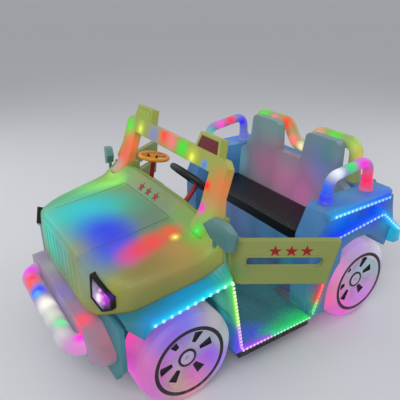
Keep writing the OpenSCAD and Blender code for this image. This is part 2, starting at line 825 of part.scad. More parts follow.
// A door in its closed place: a flat panel with a long slot and a curved hinge end
bend_out = 52;
module door_closed() {
    panel_y = hinge_y + bend_out;
    difference() {
        union() {
            side_slab(door_face_x - door_t, door_face_x, [
                [panel_y, door_z], [panel_y + door_len - 38, door_z],
                [panel_y + door_len, door_z + door_h], [panel_y, door_z + door_h]]);
            translate([door_face_x - bend_out, panel_y, door_z])
                intersection() {
                    difference() {
                        cylinder(h = door_h, r = bend_out);
                        translate([0, 0, -1])
                            cylinder(h = door_h + 2, r = bend_out - door_t);
                    }
                    block([0, -60, 0], [60, 0.5, door_h]);
                }
            translate([hinge_x, hinge_y, door_z]) cylinder(h = door_h, r = 15);
        }
        translate([hinge_x, hinge_y, door_z - 1])
            cylinder(h = door_h + 2, r = hinge_pin_r + seat_gap);
        translate([door_face_x - 2 * door_t, 0, 0])
            rotate([90, 0, 90])
                linear_extrude(2 * door_t + 1)
                    rounded(14)
                        translate([hinge_y + 60, door_z + 70]) square([288, 50]);
    }
}
module door_open_by(angle) {
    translate([hinge_x, hinge_y, 0])
        rotate([0, 0, -angle])
            translate([-hinge_x, -hinge_y, 0]) children();
}
module door_left() {
    color([0.45, 0.58, 0.3]) door_open_by(door_ajar) door_closed();
}
module door_right() {
    color([0.45, 0.58, 0.3]) mirror([1, 0, 0]) door_open_by(door_ajar) door_closed();
}

// Steering: each column passes its boss or ledge and leans back
hub_y = -132;
hub_z = 738;
module on_column(x, tilt) {
    translate([x, hub_y, hub_z])
        rotate([-tilt, 0, 0]) children();
}
ring_chords = 16;
module wheel_ring(r, tube_r) {
    rotate_extrude($fn = 72)
        polygon([for (i = [0:ring_chords - 1]) let (a = 360 * (i + 0.5) / ring_chords)
            [r - tube_r + tube_r * cos(a), tube_r * sin(a)]]);
    cylinder(h = 24, r = 0.26 * r, center = true);
    for (a = [90, 210, 330])
        rotate([0, 0, a])
            block([0, -0.1 * r, -5], [r - tube_r, 0.1 * r, 5]);
}
module steering_wheel() {
    color([0.05, 0.05, 0.05]) on_column(column_x, column_tilt) wheel_ring(steer_wheel_r, 13);
}
module steering_column() {
    color([0.45, 0.05, 0.08])
        on_column(column_x, column_tilt)
            translate([0, 0, -190]) cylinder(h = 190 - 12 - seat_gap, r = column_r);
}
module toy_wheel() {
    color([0.95, 0.6, 0.1]) on_column(-toy_x, toy_tilt) wheel_ring(toy_wheel_r, 10);
}
module toy_column() {
    color([0.5, 0.05, 0.08])
        on_column(-toy_x, toy_tilt)
            translate([0, 0, -160]) cylinder(h = 160 - 12 - seat_gap, r = column_r);
}

// Front axle beam with its yokes and kingpins
yoke_h = 46;
module front_axle() {
    color([0.12, 0.12, 0.13]) {
        block([30 - kingpin_x, front_axle_y - 18, axle_z - 18],
            [kingpin_x - 30, front_axle_y + 18, axle_z + 18]);
        both_sides() {
            block([kingpin_x - 50, front_axle_y - 16, axle_z - yoke_h - 10],
                [kingpin_x - 30, front_axle_y + 16, axle_z + yoke_h + 10]);
            for (z = [axle_z - yoke_h - 10, axle_z + yoke_h])
                block([kingpin_x - 50, front_axle_y - 16, z],
                    [kingpin_x + 16, front_axle_y + 16, z + 10]);
            translate([kingpin_x, front_axle_y, axle_z - yoke_h - 5])
                cylinder(h = 2 * yoke_h + 10, r = kingpin_r);
            block([rail_x - 12, front_axle_y - 16, rail_top + seat_gap],
                [rail_x + 12, front_axle_y + 16, axle_z - 17]);
        }
    }
}

arm_z = axle_z - 34;
pin_r = 5;
module knuckle() {
    arm_y = front_axle_y + arm_length;
    difference() {
        union() {
            translate([kingpin_x, front_axle_y, axle_z - yoke_h + 1])
                cylinder(h = 2 * yoke_h - 2, r = 16);
            translate([kingpin_x + 12, front_axle_y, axle_z])
                rotate([0, 90, 0])
                    cylinder(h = web_x + 40 - kingpin_x - 12, r = stub_r);
            block([kingpin_x - 9, front_axle_y + 12, arm_z - 5],
                [kingpin_x + 9, arm_y, arm_z + 5]);
            translate([kingpin_x, arm_y, arm_z - 5]) cylinder(h = 10, r = 12);
        }
        translate([kingpin_x, front_axle_y, 0])
            cylinder(h = 600, r = kingpin_r + seat_gap);
        translate([kingpin_x, arm_y, 0]) cylinder(h = 600, r = pin_r + seat_gap);
    }
}
module knuckle_left() {
    color([0.3, 0.3, 0.32]) knuckle();
}
module knuckle_right() {
    color([0.3, 0.3, 0.32]) mirror([1, 0, 0]) knuckle();
}

module tie_rod() {
    arm_y = front_axle_y + arm_length;
    color([0.35, 0.35, 0.37]) {
        translate([-kingpin_x, arm_y, arm_z - 14])
            rotate([0, 90, 0]) cylinder(h = 2 * kingpin_x, r = 7);
        both_sides()
            translate([kingpin_x, arm_y, arm_z - 20]) cylinder(h = 30, r = pin_r);
    }
}

module rear_axle() {
    color([0.15, 0.15, 0.16]) {
        translate([-web_x - 40, rear_axle_y, axle_z])
            rotate([0, 90, 0]) cylinder(h = 2 * (web_x + 40), r = stub_r);
        translate([-kingpin_x + 20, rear_axle_y, axle_z])
            rotate([0, 90, 0]) cylinder(h = 2 * kingpin_x - 40, r = 22);
        both_sides()
            block([rail_x - 14, rear_axle_y - 26, rail_top + seat_gap],
                [rail_x + 14, rear_axle_y + 26, axle_z]);
    }
}

// Wheel about the X axis with its outer face at x = 0: round shoulder, dished face
// with spoke windows, hollow inboard side
window_in_r = 66;
window_angles = [13, 57, 125, 193, 237, 305];
rib_angles = [80, 91, 102, 148, 159, 170, 260, 271, 282, 328, 339, 350];
shoulder_chords = 3;
module wheel_shape() {
    s = wheel_shoulder_r;
    difference() {
        rotate([0, 90, 0])
            rotate_extrude($fn = 96)
                polygon(concat(
                    [[stub_r + seat_gap, -wheel_w], [wheel_r - 30, -wheel_w],
                     [wheel_r, -wheel_w + 30]],
                    [for (i = [0:shoulder_chords]) let (a = 90 * i / shoulder_chords)
                        [wheel_r - s + s * cos(a), s * sin(a) - s]],
                    [[stub_r + seat_gap, 0]]));
        difference() {
            translate([-dish_depth, 0, 0])
                rotate([0, 90, 0]) cylinder(h = dish_depth, r1 = dish_r - 10, r2 = dish_r);
            translate([-dish_depth - 1, 0, 0]) rotate([0, 90, 0]) cylinder(h = 11, r = boss_r);
            for (a = rib_angles)
                rotate([a - 90, 0, 0])
                    block([-dish_depth - 1, -2.5, boss_r + 14],
                        [-dish_depth + 3, 2.5, dish_r - 14]);
        }
        for (a = window_angles)
            rotate([a - 90, 0, 0])
                translate([-dish_depth - 6, 0, 0])
                    rotate([90, 0, 90])
                        linear_extrude(8)
                            polygon([[-8, window_in_r], [8, window_in_r],
                                [17, window_out_r], [-17, window_out_r]]);
        translate([-wheel_w - 1, 0, 0])
            rotate([0, 90, 0]) cylinder(h = hollow_depth + 1, r = hollow_r, $fn = 96);
    }
}
module wheel_at(side, axle_y) {
    color([0.92, 0.88, 0.95])
        translate([side * wheel_face_x, axle_y, axle_z])
            rotate([0, 0, side > 0 ? 0 : 180]) wheel_shape();
}
module wheel_front_left() { wheel_at(1, front_axle_y); }
module wheel_front_right() { wheel_at(-1, front_axle_y); }
module wheel_rear_left() { wheel_at(1, rear_axle_y); }
module wheel_rear_right() { wheel_at(-1, rear_axle_y); }

// Hub flange on the web inside the hollow of a wheel
module hub_at(side, axle_y) {
    color([0.2, 0.2, 0.22])
        translate([side * (web_x - seat_gap), axle_y, axle_z])
            rotate([0, side > 0 ? -90 : 90, 0])
                difference() {
                    union() {
                        cylinder(h = 8, r = 62);
                        cylinder(h = 26, r = 26);
                    }
                    translate([0, 0, -1]) cylinder(h = 30, r = stub_r + seat_gap);
                }
}
module hub_front_left() { hub_at(1, front_axle_y); }
module hub_front_right() { hub_at(-1, front_axle_y); }
module hub_rear_left() { hub_at(1, rear_axle_y); }
module hub_rear_right() { hub_at(-1, rear_axle_y); }

// Block at the size and place of the sealed drive motor
module drive_motor() {
    color([0.1, 0.1, 0.1])
        block([-90, rear_axle_y + 59, rail_top + seat_gap],
            [90, rear_axle_y + 175, rail_top + 120]);
}

// Block at the size and place of the battery under the seat
module battery() {
    color([0.12, 0.12, 0.14])
        block([-170, seat_front_y + 30, floor_top + seat_gap],
            [170, seat_front_y + 126, floor_top + 215]);
}

module pedal() {
    foot_z = floor_top + seat_gap;
    color([0.1, 0.1, 0.1])
        side_slab(column_x - 35, column_x + 35, [
            [dash_y + 70, foot_z], [dash_y + 160, foot_z], [dash_y + 96, foot_z + 90],
            [dash_y + 84, foot_z + 84]]);
}

chassis_frame();
body_tub();
rear_body();
front_shell();
windscreen_frame();
lamp_panels();
headlamp_bezels();
headlamp_lenses();
mirrors();
front_bumper();
bumper_tube();
rear_bumper();
seat_base();
seat_cushion();
seat_back();
roll_hoop();
grab_rails();
fender_strips();
sill_strips();
rear_strips();
door_left();
door_right();
steering_wheel();
steering_column();
toy_wheel();
toy_column();
front_axle();
knuckle_left();
knuckle_right();
tie_rod();
rear_axle();
wheel_front_left();
wheel_front_right();
wheel_rear_left();
wheel_rear_right();
hub_front_left();
hub_front_right();
hub_rear_left();
hub_rear_right();
drive_motor();
battery();
pedal();
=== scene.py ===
"""Looks of a two-seat battery bumper car: lit mouldings, rows of lamp domes, padded seat.

All lengths are in metres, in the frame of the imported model. Only the lamp tables give places and
reaches in millimetres.
"""

import math

import bpy
import numpy as np
from mathutils import Matrix, Vector
from mathutils.bvhtree import BVHTree


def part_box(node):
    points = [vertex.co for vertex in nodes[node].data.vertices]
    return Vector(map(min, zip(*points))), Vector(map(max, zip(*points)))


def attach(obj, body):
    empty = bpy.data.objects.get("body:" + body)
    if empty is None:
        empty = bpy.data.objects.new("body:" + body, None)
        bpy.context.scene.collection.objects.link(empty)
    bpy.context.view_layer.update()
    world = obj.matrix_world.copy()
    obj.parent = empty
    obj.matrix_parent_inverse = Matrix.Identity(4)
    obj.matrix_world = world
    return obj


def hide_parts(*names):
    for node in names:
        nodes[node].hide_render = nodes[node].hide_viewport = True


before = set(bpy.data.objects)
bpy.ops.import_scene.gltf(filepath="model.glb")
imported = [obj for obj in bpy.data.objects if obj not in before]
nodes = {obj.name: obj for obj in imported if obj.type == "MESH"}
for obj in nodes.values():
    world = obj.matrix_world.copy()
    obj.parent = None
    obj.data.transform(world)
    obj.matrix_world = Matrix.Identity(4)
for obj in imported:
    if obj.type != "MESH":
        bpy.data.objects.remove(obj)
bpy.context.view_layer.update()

BODY_X = 0.541
HINGE = np.array([0.478, -0.2, 0.0])
DOOR_AJAR = math.radians(33)
DOOR_FACE_X = 0.516
WHEEL_Z = 0.205
FRONT_AXLE_Y = -0.417
REAR_AXLE_Y = 0.533
CAMERA_PLACE = [1.701, -1.1207, 1.508]
CAMERA_TURN = (57.108, 24.896, -0.318)
CAMERA_LENS = 42.28
LAMP_AIM = (0, 0, 0.4)
SPREAD = 1.35  # how far a lamp shows beyond its reach
BROAD_SCALE, SPECK_SCALE = 9.0, 70.0
SPECK_RANGE = (0.38, 0.66)
SPECK_ROUGH, DUST_ROUGH = 0.22, 0.3
DOME_RISE = 0.7
LENS_HALF_WIDE, LENS_HALF_HIGH = 0.0075, 0.005


# ---- colour and node helpers


def ink(code):
    """Linear colour of an sRGB hex code: c / 12.92 up to 0.04045, else ((c + 0.055) / 1.055) ** 2.4."""
    c = np.array([int(code[i : i + 2], 16) for i in (0, 2, 4)]) / 255
    linear = np.where(c <= 0.04045, c / 12.92, ((c + 0.055) / 1.055) ** 2.4)
    return (*linear.tolist(), 1.0)


def feed(tree, inputs, values):
    """Links sockets to a node's inputs or sets them to values, by their names or in their order."""
    for key, value in values.items() if isinstance(values, dict) else enumerate(values):
        if isinstance(value, bpy.types.NodeSocket):
            tree.links.new(value, inputs[key])
        elif value is not None:
            inputs[key].default_value = value


def put(tree, kind, inputs=(), **settings):
    """A shader node with its settings, each input linked from a socket or set to a value."""
    node = tree.nodes.new("ShaderNode" + kind)
    for key, value in settings.items():
        setattr(node, key, value)
    feed(tree, node.inputs, inputs)
    return node


def sums(tree, operation, *values):
    """Output of a Math node."""
    return put(tree, "Math", values, operation=operation).outputs[0]


def times(tree, first, second):
    """Product of two numbers."""
    return sums(tree, "MULTIPLY", first, second)


def vectors(tree, operation, *values):
    """Vector output of a Vector Math node, or its number for a length or a dot product."""
    node = put(tree, "VectorMath", values, operation=operation)
    return node.outputs["Value" if operation in ("LENGTH", "DOT_PRODUCT", "DISTANCE") else "Vector"]


def scaled(tree, vector, factor):
    """A vector or colour times a number, each a socket or a value."""
    if isinstance(vector, tuple):
        vector = vector[:3]
    return put(tree, "VectorMath", {0: vector, "Scale": factor}, operation="SCALE").outputs[0]


def blend_colour(tree, share, first, second):
    """Colour mix of two colours by a share from 0 to 1."""
    return put(tree, "Mix", {0: share, 6: first, 7: second}, data_type="RGBA").outputs[2]


def ramp(tree, value, low, high, to_low=0.0, to_high=1.0, soft=True):
    """Value carried from low..high to to_low..to_high, eased as 3t^2 - 2t^3 when soft."""
    node = put(
        tree, "MapRange",
        {"Value": value, "From Min": low, "From Max": high, "To Min": to_low, "To Max": to_high},
        interpolation_type="SMOOTHSTEP" if soft else "LINEAR"
    )
    return node.outputs["Result"]


def new_group(name, inputs, outputs):
    """An empty shader node group, its sockets written as "Kind Label, Kind Label"; gives its tree,
    its inputs and its outputs."""
    tree = bpy.data.node_groups.new(name, "ShaderNodeTree")
    for way, sockets in (("INPUT", inputs), ("OUTPUT", outputs)):
        for socket in sockets.split(", "):
            kind, label = socket.split(" ", 1)
            tree.interface.new_socket(label, in_out=way, socket_type="NodeSocket" + kind)
    return tree, tree.nodes.new("NodeGroupInput").outputs, tree.nodes.new("NodeGroupOutput").inputs


def use_group(tree, group, values):
    """A group placed in a material with its own values."""
    return put(tree, "Group", values, node_tree=group).outputs


# ---- shared effects


def end_lamp_group(tree, a, z, away, lamp):
    """End of a lamp group: m = Strength * smoothstep(1 - away / Reach) mixes the lamp's colour in and
    is the least that Glow can be."""
    mask = ramp(tree, sums(tree, "DIVIDE", away, a["Reach"]), 0.0, 1.0, 1.0, 0.0)
    share = times(tree, mask, a["Strength"])
    feed(tree, z, [blend_colour(tree, share, a["Colour"], lamp), sums(tree, "MAXIMUM", a["Glow"], share)])
    return tree


def make_lit_spot():
    """Light from a lamp behind a wall, and for some spots painted light, shade and reflections: away = |P -
    Centre|.
    """
    tree, a, z = new_group(
        "lit spot",
        "Vector Position, Color Colour, Float Glow, Vector Centre, Float Reach, Color Lamp, Float Strength",
        "Color Colour, Float Glow"
    )
    away = vectors(tree, "LENGTH", vectors(tree, "SUBTRACT", a["Position"], a["Centre"]))
    return end_lamp_group(tree, a, z, away, a["Lamp"])


def make_lit_line():
    """Light beside a lamp strip: away = distance from P to the segment From-To, with the colour going
    from Lamp From to Lamp To along the segment."""
    tree, a, z = new_group(
        "lit line",
        "Vector Position, Color Colour, Float Glow, Vector From, Vector To, Float Reach, "
        "Color Lamp From, Color Lamp To, Float Strength",
        "Color Colour, Float Glow"
    )
    run = vectors(tree, "SUBTRACT", a["To"], a["From"])
    step = vectors(tree, "SUBTRACT", a["Position"], a["From"])
    ahead, whole = (vectors(tree, "DOT_PRODUCT", vector, run) for vector in (step, run))
    share = put(tree, "Clamp", [sums(tree, "DIVIDE", ahead, whole), 0.0, 1.0]).outputs[0]
    away = vectors(tree, "LENGTH", vectors(tree, "SUBTRACT", step, scaled(tree, run, share)))
    return end_lamp_group(tree, a, z, away, blend_colour(tree, share, a["Lamp From"], a["Lamp To"]))


def noise(tree, position, scale, detail):
    """Noise of a scale per metre, about 0.5."""
    return put(tree, "TexNoise", {"Vector": position, "Scale": scale, "Detail": detail}).outputs[0]


def make_skin():
    """Rotomoulded skin: broad and fine noise give a tint, a roughness and a height; floor dust grows
    in specks below the height Dust Top and roughens the skin."""
    tree, a, z = new_group(
        "moulded skin", "Vector Position, Float Rough, Float Grain Scale, Float Mottle, Float Dust Top",
        "Float Tint, Float Roughness, Float Height, Float Dust"
    )
    broad = noise(tree, a["Position"], BROAD_SCALE, 3.0)
    fine = noise(tree, a["Position"], a["Grain Scale"], 2.0)
    specks = noise(tree, a["Position"], SPECK_SCALE, 4.0)
    height = put(tree, "SeparateXYZ", [a["Position"]]).outputs[2]
    low = ramp(tree, height, 0.0, a["Dust Top"], 1.0, 0.0)
    dust = times(tree, low, ramp(tree, specks, *SPECK_RANGE))
    swing = times(tree, sums(tree, "SUBTRACT", broad, 0.5), a["Mottle"])
    uneven = times(tree, sums(tree, "SUBTRACT", specks, 0.5), SPECK_ROUGH)
    rough = sums(tree, "ADD", sums(tree, "ADD", a["Rough"], uneven), times(tree, dust, DUST_ROUGH))
    relief = sums(tree, "ADD", fine, times(tree, broad, 2.0))
    feed(tree, z, [sums(tree, "ADD", 1.0, swing), rough, relief, dust])
    return tree


LIT_SPOT = make_lit_spot()
LIT_LINE = make_lit_line()
SKIN = make_skin()
DUST = ink("8d8578")


def start_material(name):
    """A material with one Principled shader; gives its tree, that shader and Object coordinates."""
    material = bpy.data.materials.new(name)
    material.use_nodes = True
    tree = material.node_tree
    shader = next(n for n in tree.nodes if n.type == "BSDF_PRINCIPLED")
    position = tree.nodes.new("ShaderNodeTexCoord").outputs["Object"]
    return material, tree, shader, position


def finish_skin(
    tree, shader, position, colour, rough, mottle, grain=700.0, dust_top=0.35, bump=0.12, dust=0.6, soft=0.0
):
    """Wires the moulded skin's tint, roughness, dust and bump into a shader; soft is the radius in
    metres over which the moulding's edges are rounded off to the eye."""
    skin = use_group(tree, SKIN, [position, rough, grain, mottle, dust_top])
    tinted = scaled(tree, colour, skin["Tint"])
    shown = blend_colour(tree, times(tree, skin["Dust"], dust), tinted, DUST)
    edges = put(tree, "Bevel", {"Radius": soft}, samples=6).outputs[0] if soft else None
    relief = {"Strength": bump, "Distance": 0.001, "Height": skin["Height"], "Normal": edges}
    normal = put(tree, "Bump", relief).outputs[0]
    values = {"Base Color": shown, "Roughness": skin["Roughness"], "Normal": normal, "Specular IOR Level": 0.32}
    feed(tree, shader.inputs, values)


def give_light(tree, shader, colour, share):
    """Emission of a share of a colour."""
    feed(tree, shader.inputs, {"Emission Color": scaled(tree, colour, share), "Emission Strength": 1.0})


def plain_finish(name, code, rough=0.5, metal=0.0, grain=900.0, mottle=0.25, bump=0.25, dust=0.5):
    """An unlit finish: one colour with mottle, grain, uneven gloss and floor dust."""
    material, tree, shader, position = start_material(name)
    colour = put(tree, "CombineXYZ", ink(code)[:3]).outputs[0]
    finish_skin(tree, shader, position, colour, rough, mottle, grain, dust_top=0.5, bump=bump, dust=dust)
    shader.inputs["Metallic"].default_value = metal
    return material


def lamp_chain(tree, position, colour, glow, spots, lines=()):
    """Colour and glow after each spot (x, y, z, reach, colour, strength) and each line (start, end,
    reach, colour at its start, colour at its end, strength), in turn. A spot's place and both
    reaches are in millimetres."""
    for x, y, z, reach, lamp, strength in spots:
        centre = (x / 1000, y / 1000, z / 1000)
        values = [position, colour, glow, centre, reach / 1000 * SPREAD, ink(lamp), strength]
        colour, glow = use_group(tree, LIT_SPOT, values)
    for start, end, reach, lamp_from, lamp_to, strength in lines:
        values = [position, colour, glow, start, end, reach / 1000, ink(lamp_from), ink(lamp_to), strength]
        colour, glow = use_group(tree, LIT_LINE, values)
    return colour, glow


def lit_finish(
    name, code, spots=(), lines=(), inner=0.12, rough=0.42, dust=0.3, mottle=0.18, upper=None, soft=0.006
):
    """A translucent moulding lit from inside: shell colour, then spots one after another, most of them lamps
    and some painted light, shade and reflections. The lit share leaves the base colour and goes to the
    emission.
    upper = (low z, high z, colour) is the colour above: the shell's own, and on the mirror a painted highlight."""
    material, tree, shader, position = start_material(name)
    colour, glow = ink(code), inner
    if upper:
        low, high, above = upper
        height = put(tree, "SeparateXYZ", [position]).outputs[2]
        colour = blend_colour(tree, ramp(tree, height, low, high), colour, ink(above))
    colour, glow = lamp_chain(tree, position, colour, glow, spots, lines)
    shade = 1.0 - glow if isinstance(glow, float) else sums(tree, "SUBTRACT", 1.0, glow)
    body = scaled(tree, colour, shade)
    finish_skin(tree, shader, position, body, rough, mottle, dust=dust, soft=soft)
    give_light(tree, shader, colour, glow)
    return material


def both_sides(items):
    """The same lamp spots or strips on the two sides of the car."""

    def flip(item):
        if isinstance(item[0], tuple):
            (ax, ay, az), (bx, by, bz), *rest = item
            return ((-ax, ay, az), (-bx, by, bz), *rest)
        return (-item[0], *item[1:])

    return [*items, *[flip(item) for item in items]]


# ---- runs of the lamp strips

FENDER_RUN = [(BODY_X, -0.558, 0.443), (BODY_X, -0.335, 0.479), (BODY_X, -0.234, 0.494)]
OPENING_FRONT = [(BODY_X, -0.226, 0.482), (BODY_X, -0.172, 0.15)]
FRONT_TURN = (BODY_X, -0.19, 0.262)
SILL_RUN = [(BODY_X, -0.165, 0.137), (BODY_X, 0.208, 0.137)]
SILL_TURN = (BODY_X, 0.0, 0.137)
OPENING_REAR = [(BODY_X, 0.23, 0.15), (BODY_X, 0.252, 0.208), (BODY_X, 0.274, 0.293), (BODY_X, 0.292, 0.486)]
REAR_LOW_RUN = [(BODY_X, 0.298, 0.505), (BODY_X, 0.352, 0.508), (BODY_X, 0.63, 0.541), (BODY_X, 0.768, 0.425)]
REAR_HIGH_RUN = [(BODY_X, 0.302, 0.616), (BODY_X, 0.649, 0.62)]

# ---- lamps behind each moulding, with painted light, shade and reflections among them

# The green lamp at the left pillar's foot lights the hood and the windscreen frame
POST_LAMPS = [
    (384, -292, 664, 65, "50b828", 0.95), (384, -292, 664, 30, "10ee38", 1.0),
    (384, -292, 664, 13, "b8ffd8", 1.0),
]
HOOD_LAMPS_AND_PAINTED_SHADE = [
    (446, -273, 646, 110, "8fae44", 0.7), (386, -386, 611, 120, "b88848", 0.7),
    (377, -505, 592, 120, "86703e", 0.7), (395, -650, 556, 55, "98981e", 0.8),
    # Painted shade: the four olive spots over the cowl, from x 68 to 225 mm, hold its upward faces at a darker
    # olive than the lamps above would light them
    (139, -282, 671, 220, "668a50", 0.85), (68, -327, 648, 160, "64805a", 0.9),
    (100, -265, 684, 60, "78803e", 0.7), (225, -250, 694, 70, "927c40", 0.8),
    (262, -292, 662, 100, "6c9c3c", 0.9), (-246, -275, 672, 120, "62a254", 0.8),
    (170, -420, 632, 160, "5a7a74", 0.85), (-60, -440, 632, 180, "3c9c84", 0.9),
    (-347, -492, 598, 200, "50b468", 0.95), (-381, -627, 559, 140, "3e9858", 0.9),
    (-308, -394, 621, 110, "80e048", 0.9), (-271, -333, 636, 70, "90ec58", 0.95),
    (-113, -585, 616, 260, "0cb898", 0.97), (-135, -701, 523, 160, "30c4b4", 0.9),
    (-84, -541, 621, 150, "02bcc8", 0.97), (51, -704, 522, 130, "50a4a0", 0.85),
    (164, -702, 459, 130, "7c9a5c", 0.7), (30, -560, 620, 120, "0494d4", 0.9),
    (286, -686, 575, 120, "70948c", 0.7), (118, -548, 621, 125, "0438e0", 1.0),
    (253, -581, 604, 110, "3460dc", 0.9), (191, -541, 618, 100, "1c34dc", 0.95),
    (271, -541, 605, 70, "6450dc", 0.8), (321, -538, 595, 62, "d84c90", 0.85),
    (308, -486, 605, 66, "ec3c58", 0.92), (301, -424, 617, 62, "f04444", 0.97),
    (294, -350, 629, 55, "ec5838", 0.95), *POST_LAMPS, (-375, -292, 660, 80, "98e048", 0.95),
    (331, -349, 624, 24, "f0d028", 1.0), (331, -349, 624, 11, "fffab0", 1.0),
]
TUB_LAMPS_AND_PAINTED_SHADE = [
    (506, -577, 458, 100, "2a6c84", 0.6), (523, -413, 488, 120, "0a84bc", 0.9),
    (515, -256, 527, 80, "209088", 0.7), (480, -664, 364, 100, "447c8c", 0.5),
    (499, -250, 393, 70, "42aa90", 0.8), (460, -198, 272, 70, "1f9f98", 0.8),
    (493, -188, 193, 60, "2068a8", 0.8), (541, -186, 153, 70, "3042c4", 0.9),
    # Painted shade: the three dark teal spots on the footwell floor, at z 142 mm, stand for the door's shade
    (291, 152, 142, 120, "2a5060", 0.6), (358, 166, 142, 100, "3c7268", 0.4),
    (329, 38, 142, 100, "2a5464", 0.5), (490, -75, 142, 90, "3834d4", 0.8),
    (541, 148, 132, 120, "16a460", 0.85),
]
REAR_LAMPS = [
    (459, 259, 598, 120, "4878ac", 0.5), (411, 226, 522, 100, "4070a0", 0.5),
    (449, 485, 640, 120, "5288c0", 0.6), (524, 646, 640, 80, "3c90d4", 0.6),
    (505, 383, 552, 100, "0070e0", 1.0), (541, 455, 545, 85, "0860e8", 1.0),
    (531, 614, 554, 120, "0c1aec", 1.0), (541, 723, 469, 70, "20b8e0", 0.8),
    (474, 213, 230, 110, "38747c", 0.85), (449, 212, 143, 60, "147858", 0.8),
    (505, 239, 195, 40, "208c78", 0.7),
]
# Painted light and shade on the seat base: lilac, blue and teal glow across its front, darker teal low down
SEAT_BASE_PAINTED_LIGHT = [
    (-200, 250, 400, 240, "50648c", 0.85), (0, 250, 400, 200, "4a6690", 0.85),
    (160, 250, 400, 170, "3a688c", 0.85), (330, 250, 400, 140, "246c88", 0.9),
    (143, 250, 227, 120, "1c5466", 0.8), (353, 250, 310, 100, "207484", 0.8),
]
SEAT_LAMPS = [
    (-380, 524, 564, 120, "3e98a8", 0.8), (-160, 537, 763, 160, "5c8c88", 0.8),
    (-320, 537, 720, 120, "548890", 0.7), (220, 539, 780, 160, "567a8c", 0.7),
    (260, 538, 762, 70, "38906c", 0.7), (330, 540, 769, 60, "8090a4", 0.6), (206, 530, 652, 160, "6a6cae", 0.8),
    (-185, 524, 586, 200, "965878", 0.75), (-10, 524, 570, 200, "a86488", 0.9),
    (132, 519, 510, 160, "ac6094", 0.9), (0, 524, 660, 100, "80808c", 0.5),
]
SCREEN_LAMPS = [
    (-146, -177, 879, 60, "7a78c8", 0.8), (-53, -171, 898, 50, "ff3030", 1.0),
    (14, -173, 891, 50, "ff6a80", 0.9), (107, -175, 885, 50, "20e020", 1.0),
    (187, -180, 870, 50, "c8d828", 0.9), (187, -180, 870, 20, "f4ff60", 1.0),
    (-274, -178, 876, 45, "c8e020", 0.9), (-274, -178, 876, 18, "f4ff60", 1.0),
    (-380, -182, 863, 60, "40e030", 1.0), (-341, -206, 791, 75, "f86840", 0.95),
    (-370, -232, 712, 80, "f84838", 0.95), (413, -198, 815, 90, "e27038", 0.9),
    (394, -219, 749, 80, "c48a58", 0.8), (402, -240, 700, 60, "88b048", 0.8), *POST_LAMPS,
    (-385, -262, 678, 50, "a8a49c", 0.8), (341, -229, 718, 34, "e050b0", 0.8),
    (341, -229, 718, 22, "ff10c8", 1.0), (331, -202, 803, 34, "ff5a30", 0.8),
    (331, -202, 803, 22, "ff180c", 1.0), (279, -181, 867, 24, "1484f0", 0.95),
]
HOOP_LAMPS = [
    (-356, 595, 779, 50, "c8d060", 0.8), (-289, 596, 830, 50, "40e030", 1.0),
    (-200, 595, 825, 34, "ff70a8", 1.0), (-112, 597, 818, 60, "ff3c18", 1.0),
    (-45, 595, 745, 50, "ff8078", 1.0), (20, 595, 725, 40, "fff0c0", 1.0), (129, 595, 829, 50, "e8a080", 0.9),
    (231, 602, 841, 60, "5cd838", 1.0), (359, 609, 820, 60, "a8d058", 0.9), (380, 618, 778, 50, "d8c060", 0.8),
]
RAIL_LAMPS = [
    (454, 325, 665, 70, "1020f0", 1.0), (454, 328, 710, 40, "0868ff", 1.0), (465, 372, 773, 48, "f0f4ff", 1.0),
    (470, 455, 787, 42, "28e068", 1.0), (477, 530, 780, 55, "f820e0", 1.0), (460, 580, 695, 85, "ff1c5c", 1.0),
    (-437, 345, 710, 50, "50e0a0", 0.95), (-432, 406, 767, 45, "ff50d0", 1.0),
    (-432, 475, 785, 50, "ff2c50", 1.0), (-445, 560, 761, 50, "3018ff", 1.0),
    (-454, 580, 688, 50, "5868d8", 0.9),
]
TUBE_LAMPS = [
    (339, -744, 284, 50, "e090d0", 0.8), (240, -806, 307, 65, "ccc8cc", 0.9),
    (110, -798, 309, 65, "d4dcc4", 0.95), (-260, -790, 305, 55, "f020e8", 1.0),
    (-190, -800, 309, 55, "ff1458", 1.0), (-145, -813, 303, 34, "ff4a28", 1.0),
    (-86, -800, 310, 55, "0c30ff", 1.0), (-66, -812, 304, 24, "10b4ff", 1.0),
    (25, -795, 308, 60, "fffdf0", 1.0), (180, -782, 306, 40, "78f09c", 1.0),
    (321, -780, 289, 60, "dc80d0", 0.9), (303, -752, 310, 30, "ff28ec", 1.0),
]
BEAM_LAMPS = [
    (-178, -697, 350, 80, "9cac9e", 0.6), (39, -734, 350, 90, "7c6cb8", 0.8),
    (189, -701, 350, 80, "a06c8c", 0.8), (371, -673, 321, 100, "a87080", 0.9),
    (430, -682, 289, 60, "986874", 0.8), (264, -721, 350, 55, "ff5068", 0.95),
    (288, -745, 319, 35, "ff3080", 0.95),
]
TUB_STRIPS = [
    (*FENDER_RUN[:2], 95, "0a90d8", "0aa0c8", 0.9),
    (*FENDER_RUN[1:], 80, "0aa0c8", "30b890", 0.85),
    (OPENING_FRONT[0], FRONT_TURN, 60, "58c860", "58c880", 0.8),
    (FRONT_TURN, OPENING_FRONT[1], 50, "6878d8", "6a48f0", 0.8),
    (SILL_RUN[0], SILL_TURN, 50, "7a48e8", "5878c8", 0.7),
    (SILL_TURN, SILL_RUN[1], 95, "10b870", "18c860", 0.85),
    (*FENDER_RUN[:2], 26, "04c4ff", "04dcf8", 1.0),
    (*FENDER_RUN[1:], 26, "04dcf8", "50f0a0", 1.0),
    (OPENING_FRONT[0], FRONT_TURN, 22, "50e838", "50f040", 1.0),
    (FRONT_TURN, OPENING_FRONT[1], 20, "9030ff", "8030ff", 1.0),
    (SILL_RUN[0], SILL_TURN, 18, "a030f0", "8848e0", 1.0),
    (SILL_TURN, SILL_RUN[1], 22, "04d888", "08e050", 1.0),
]
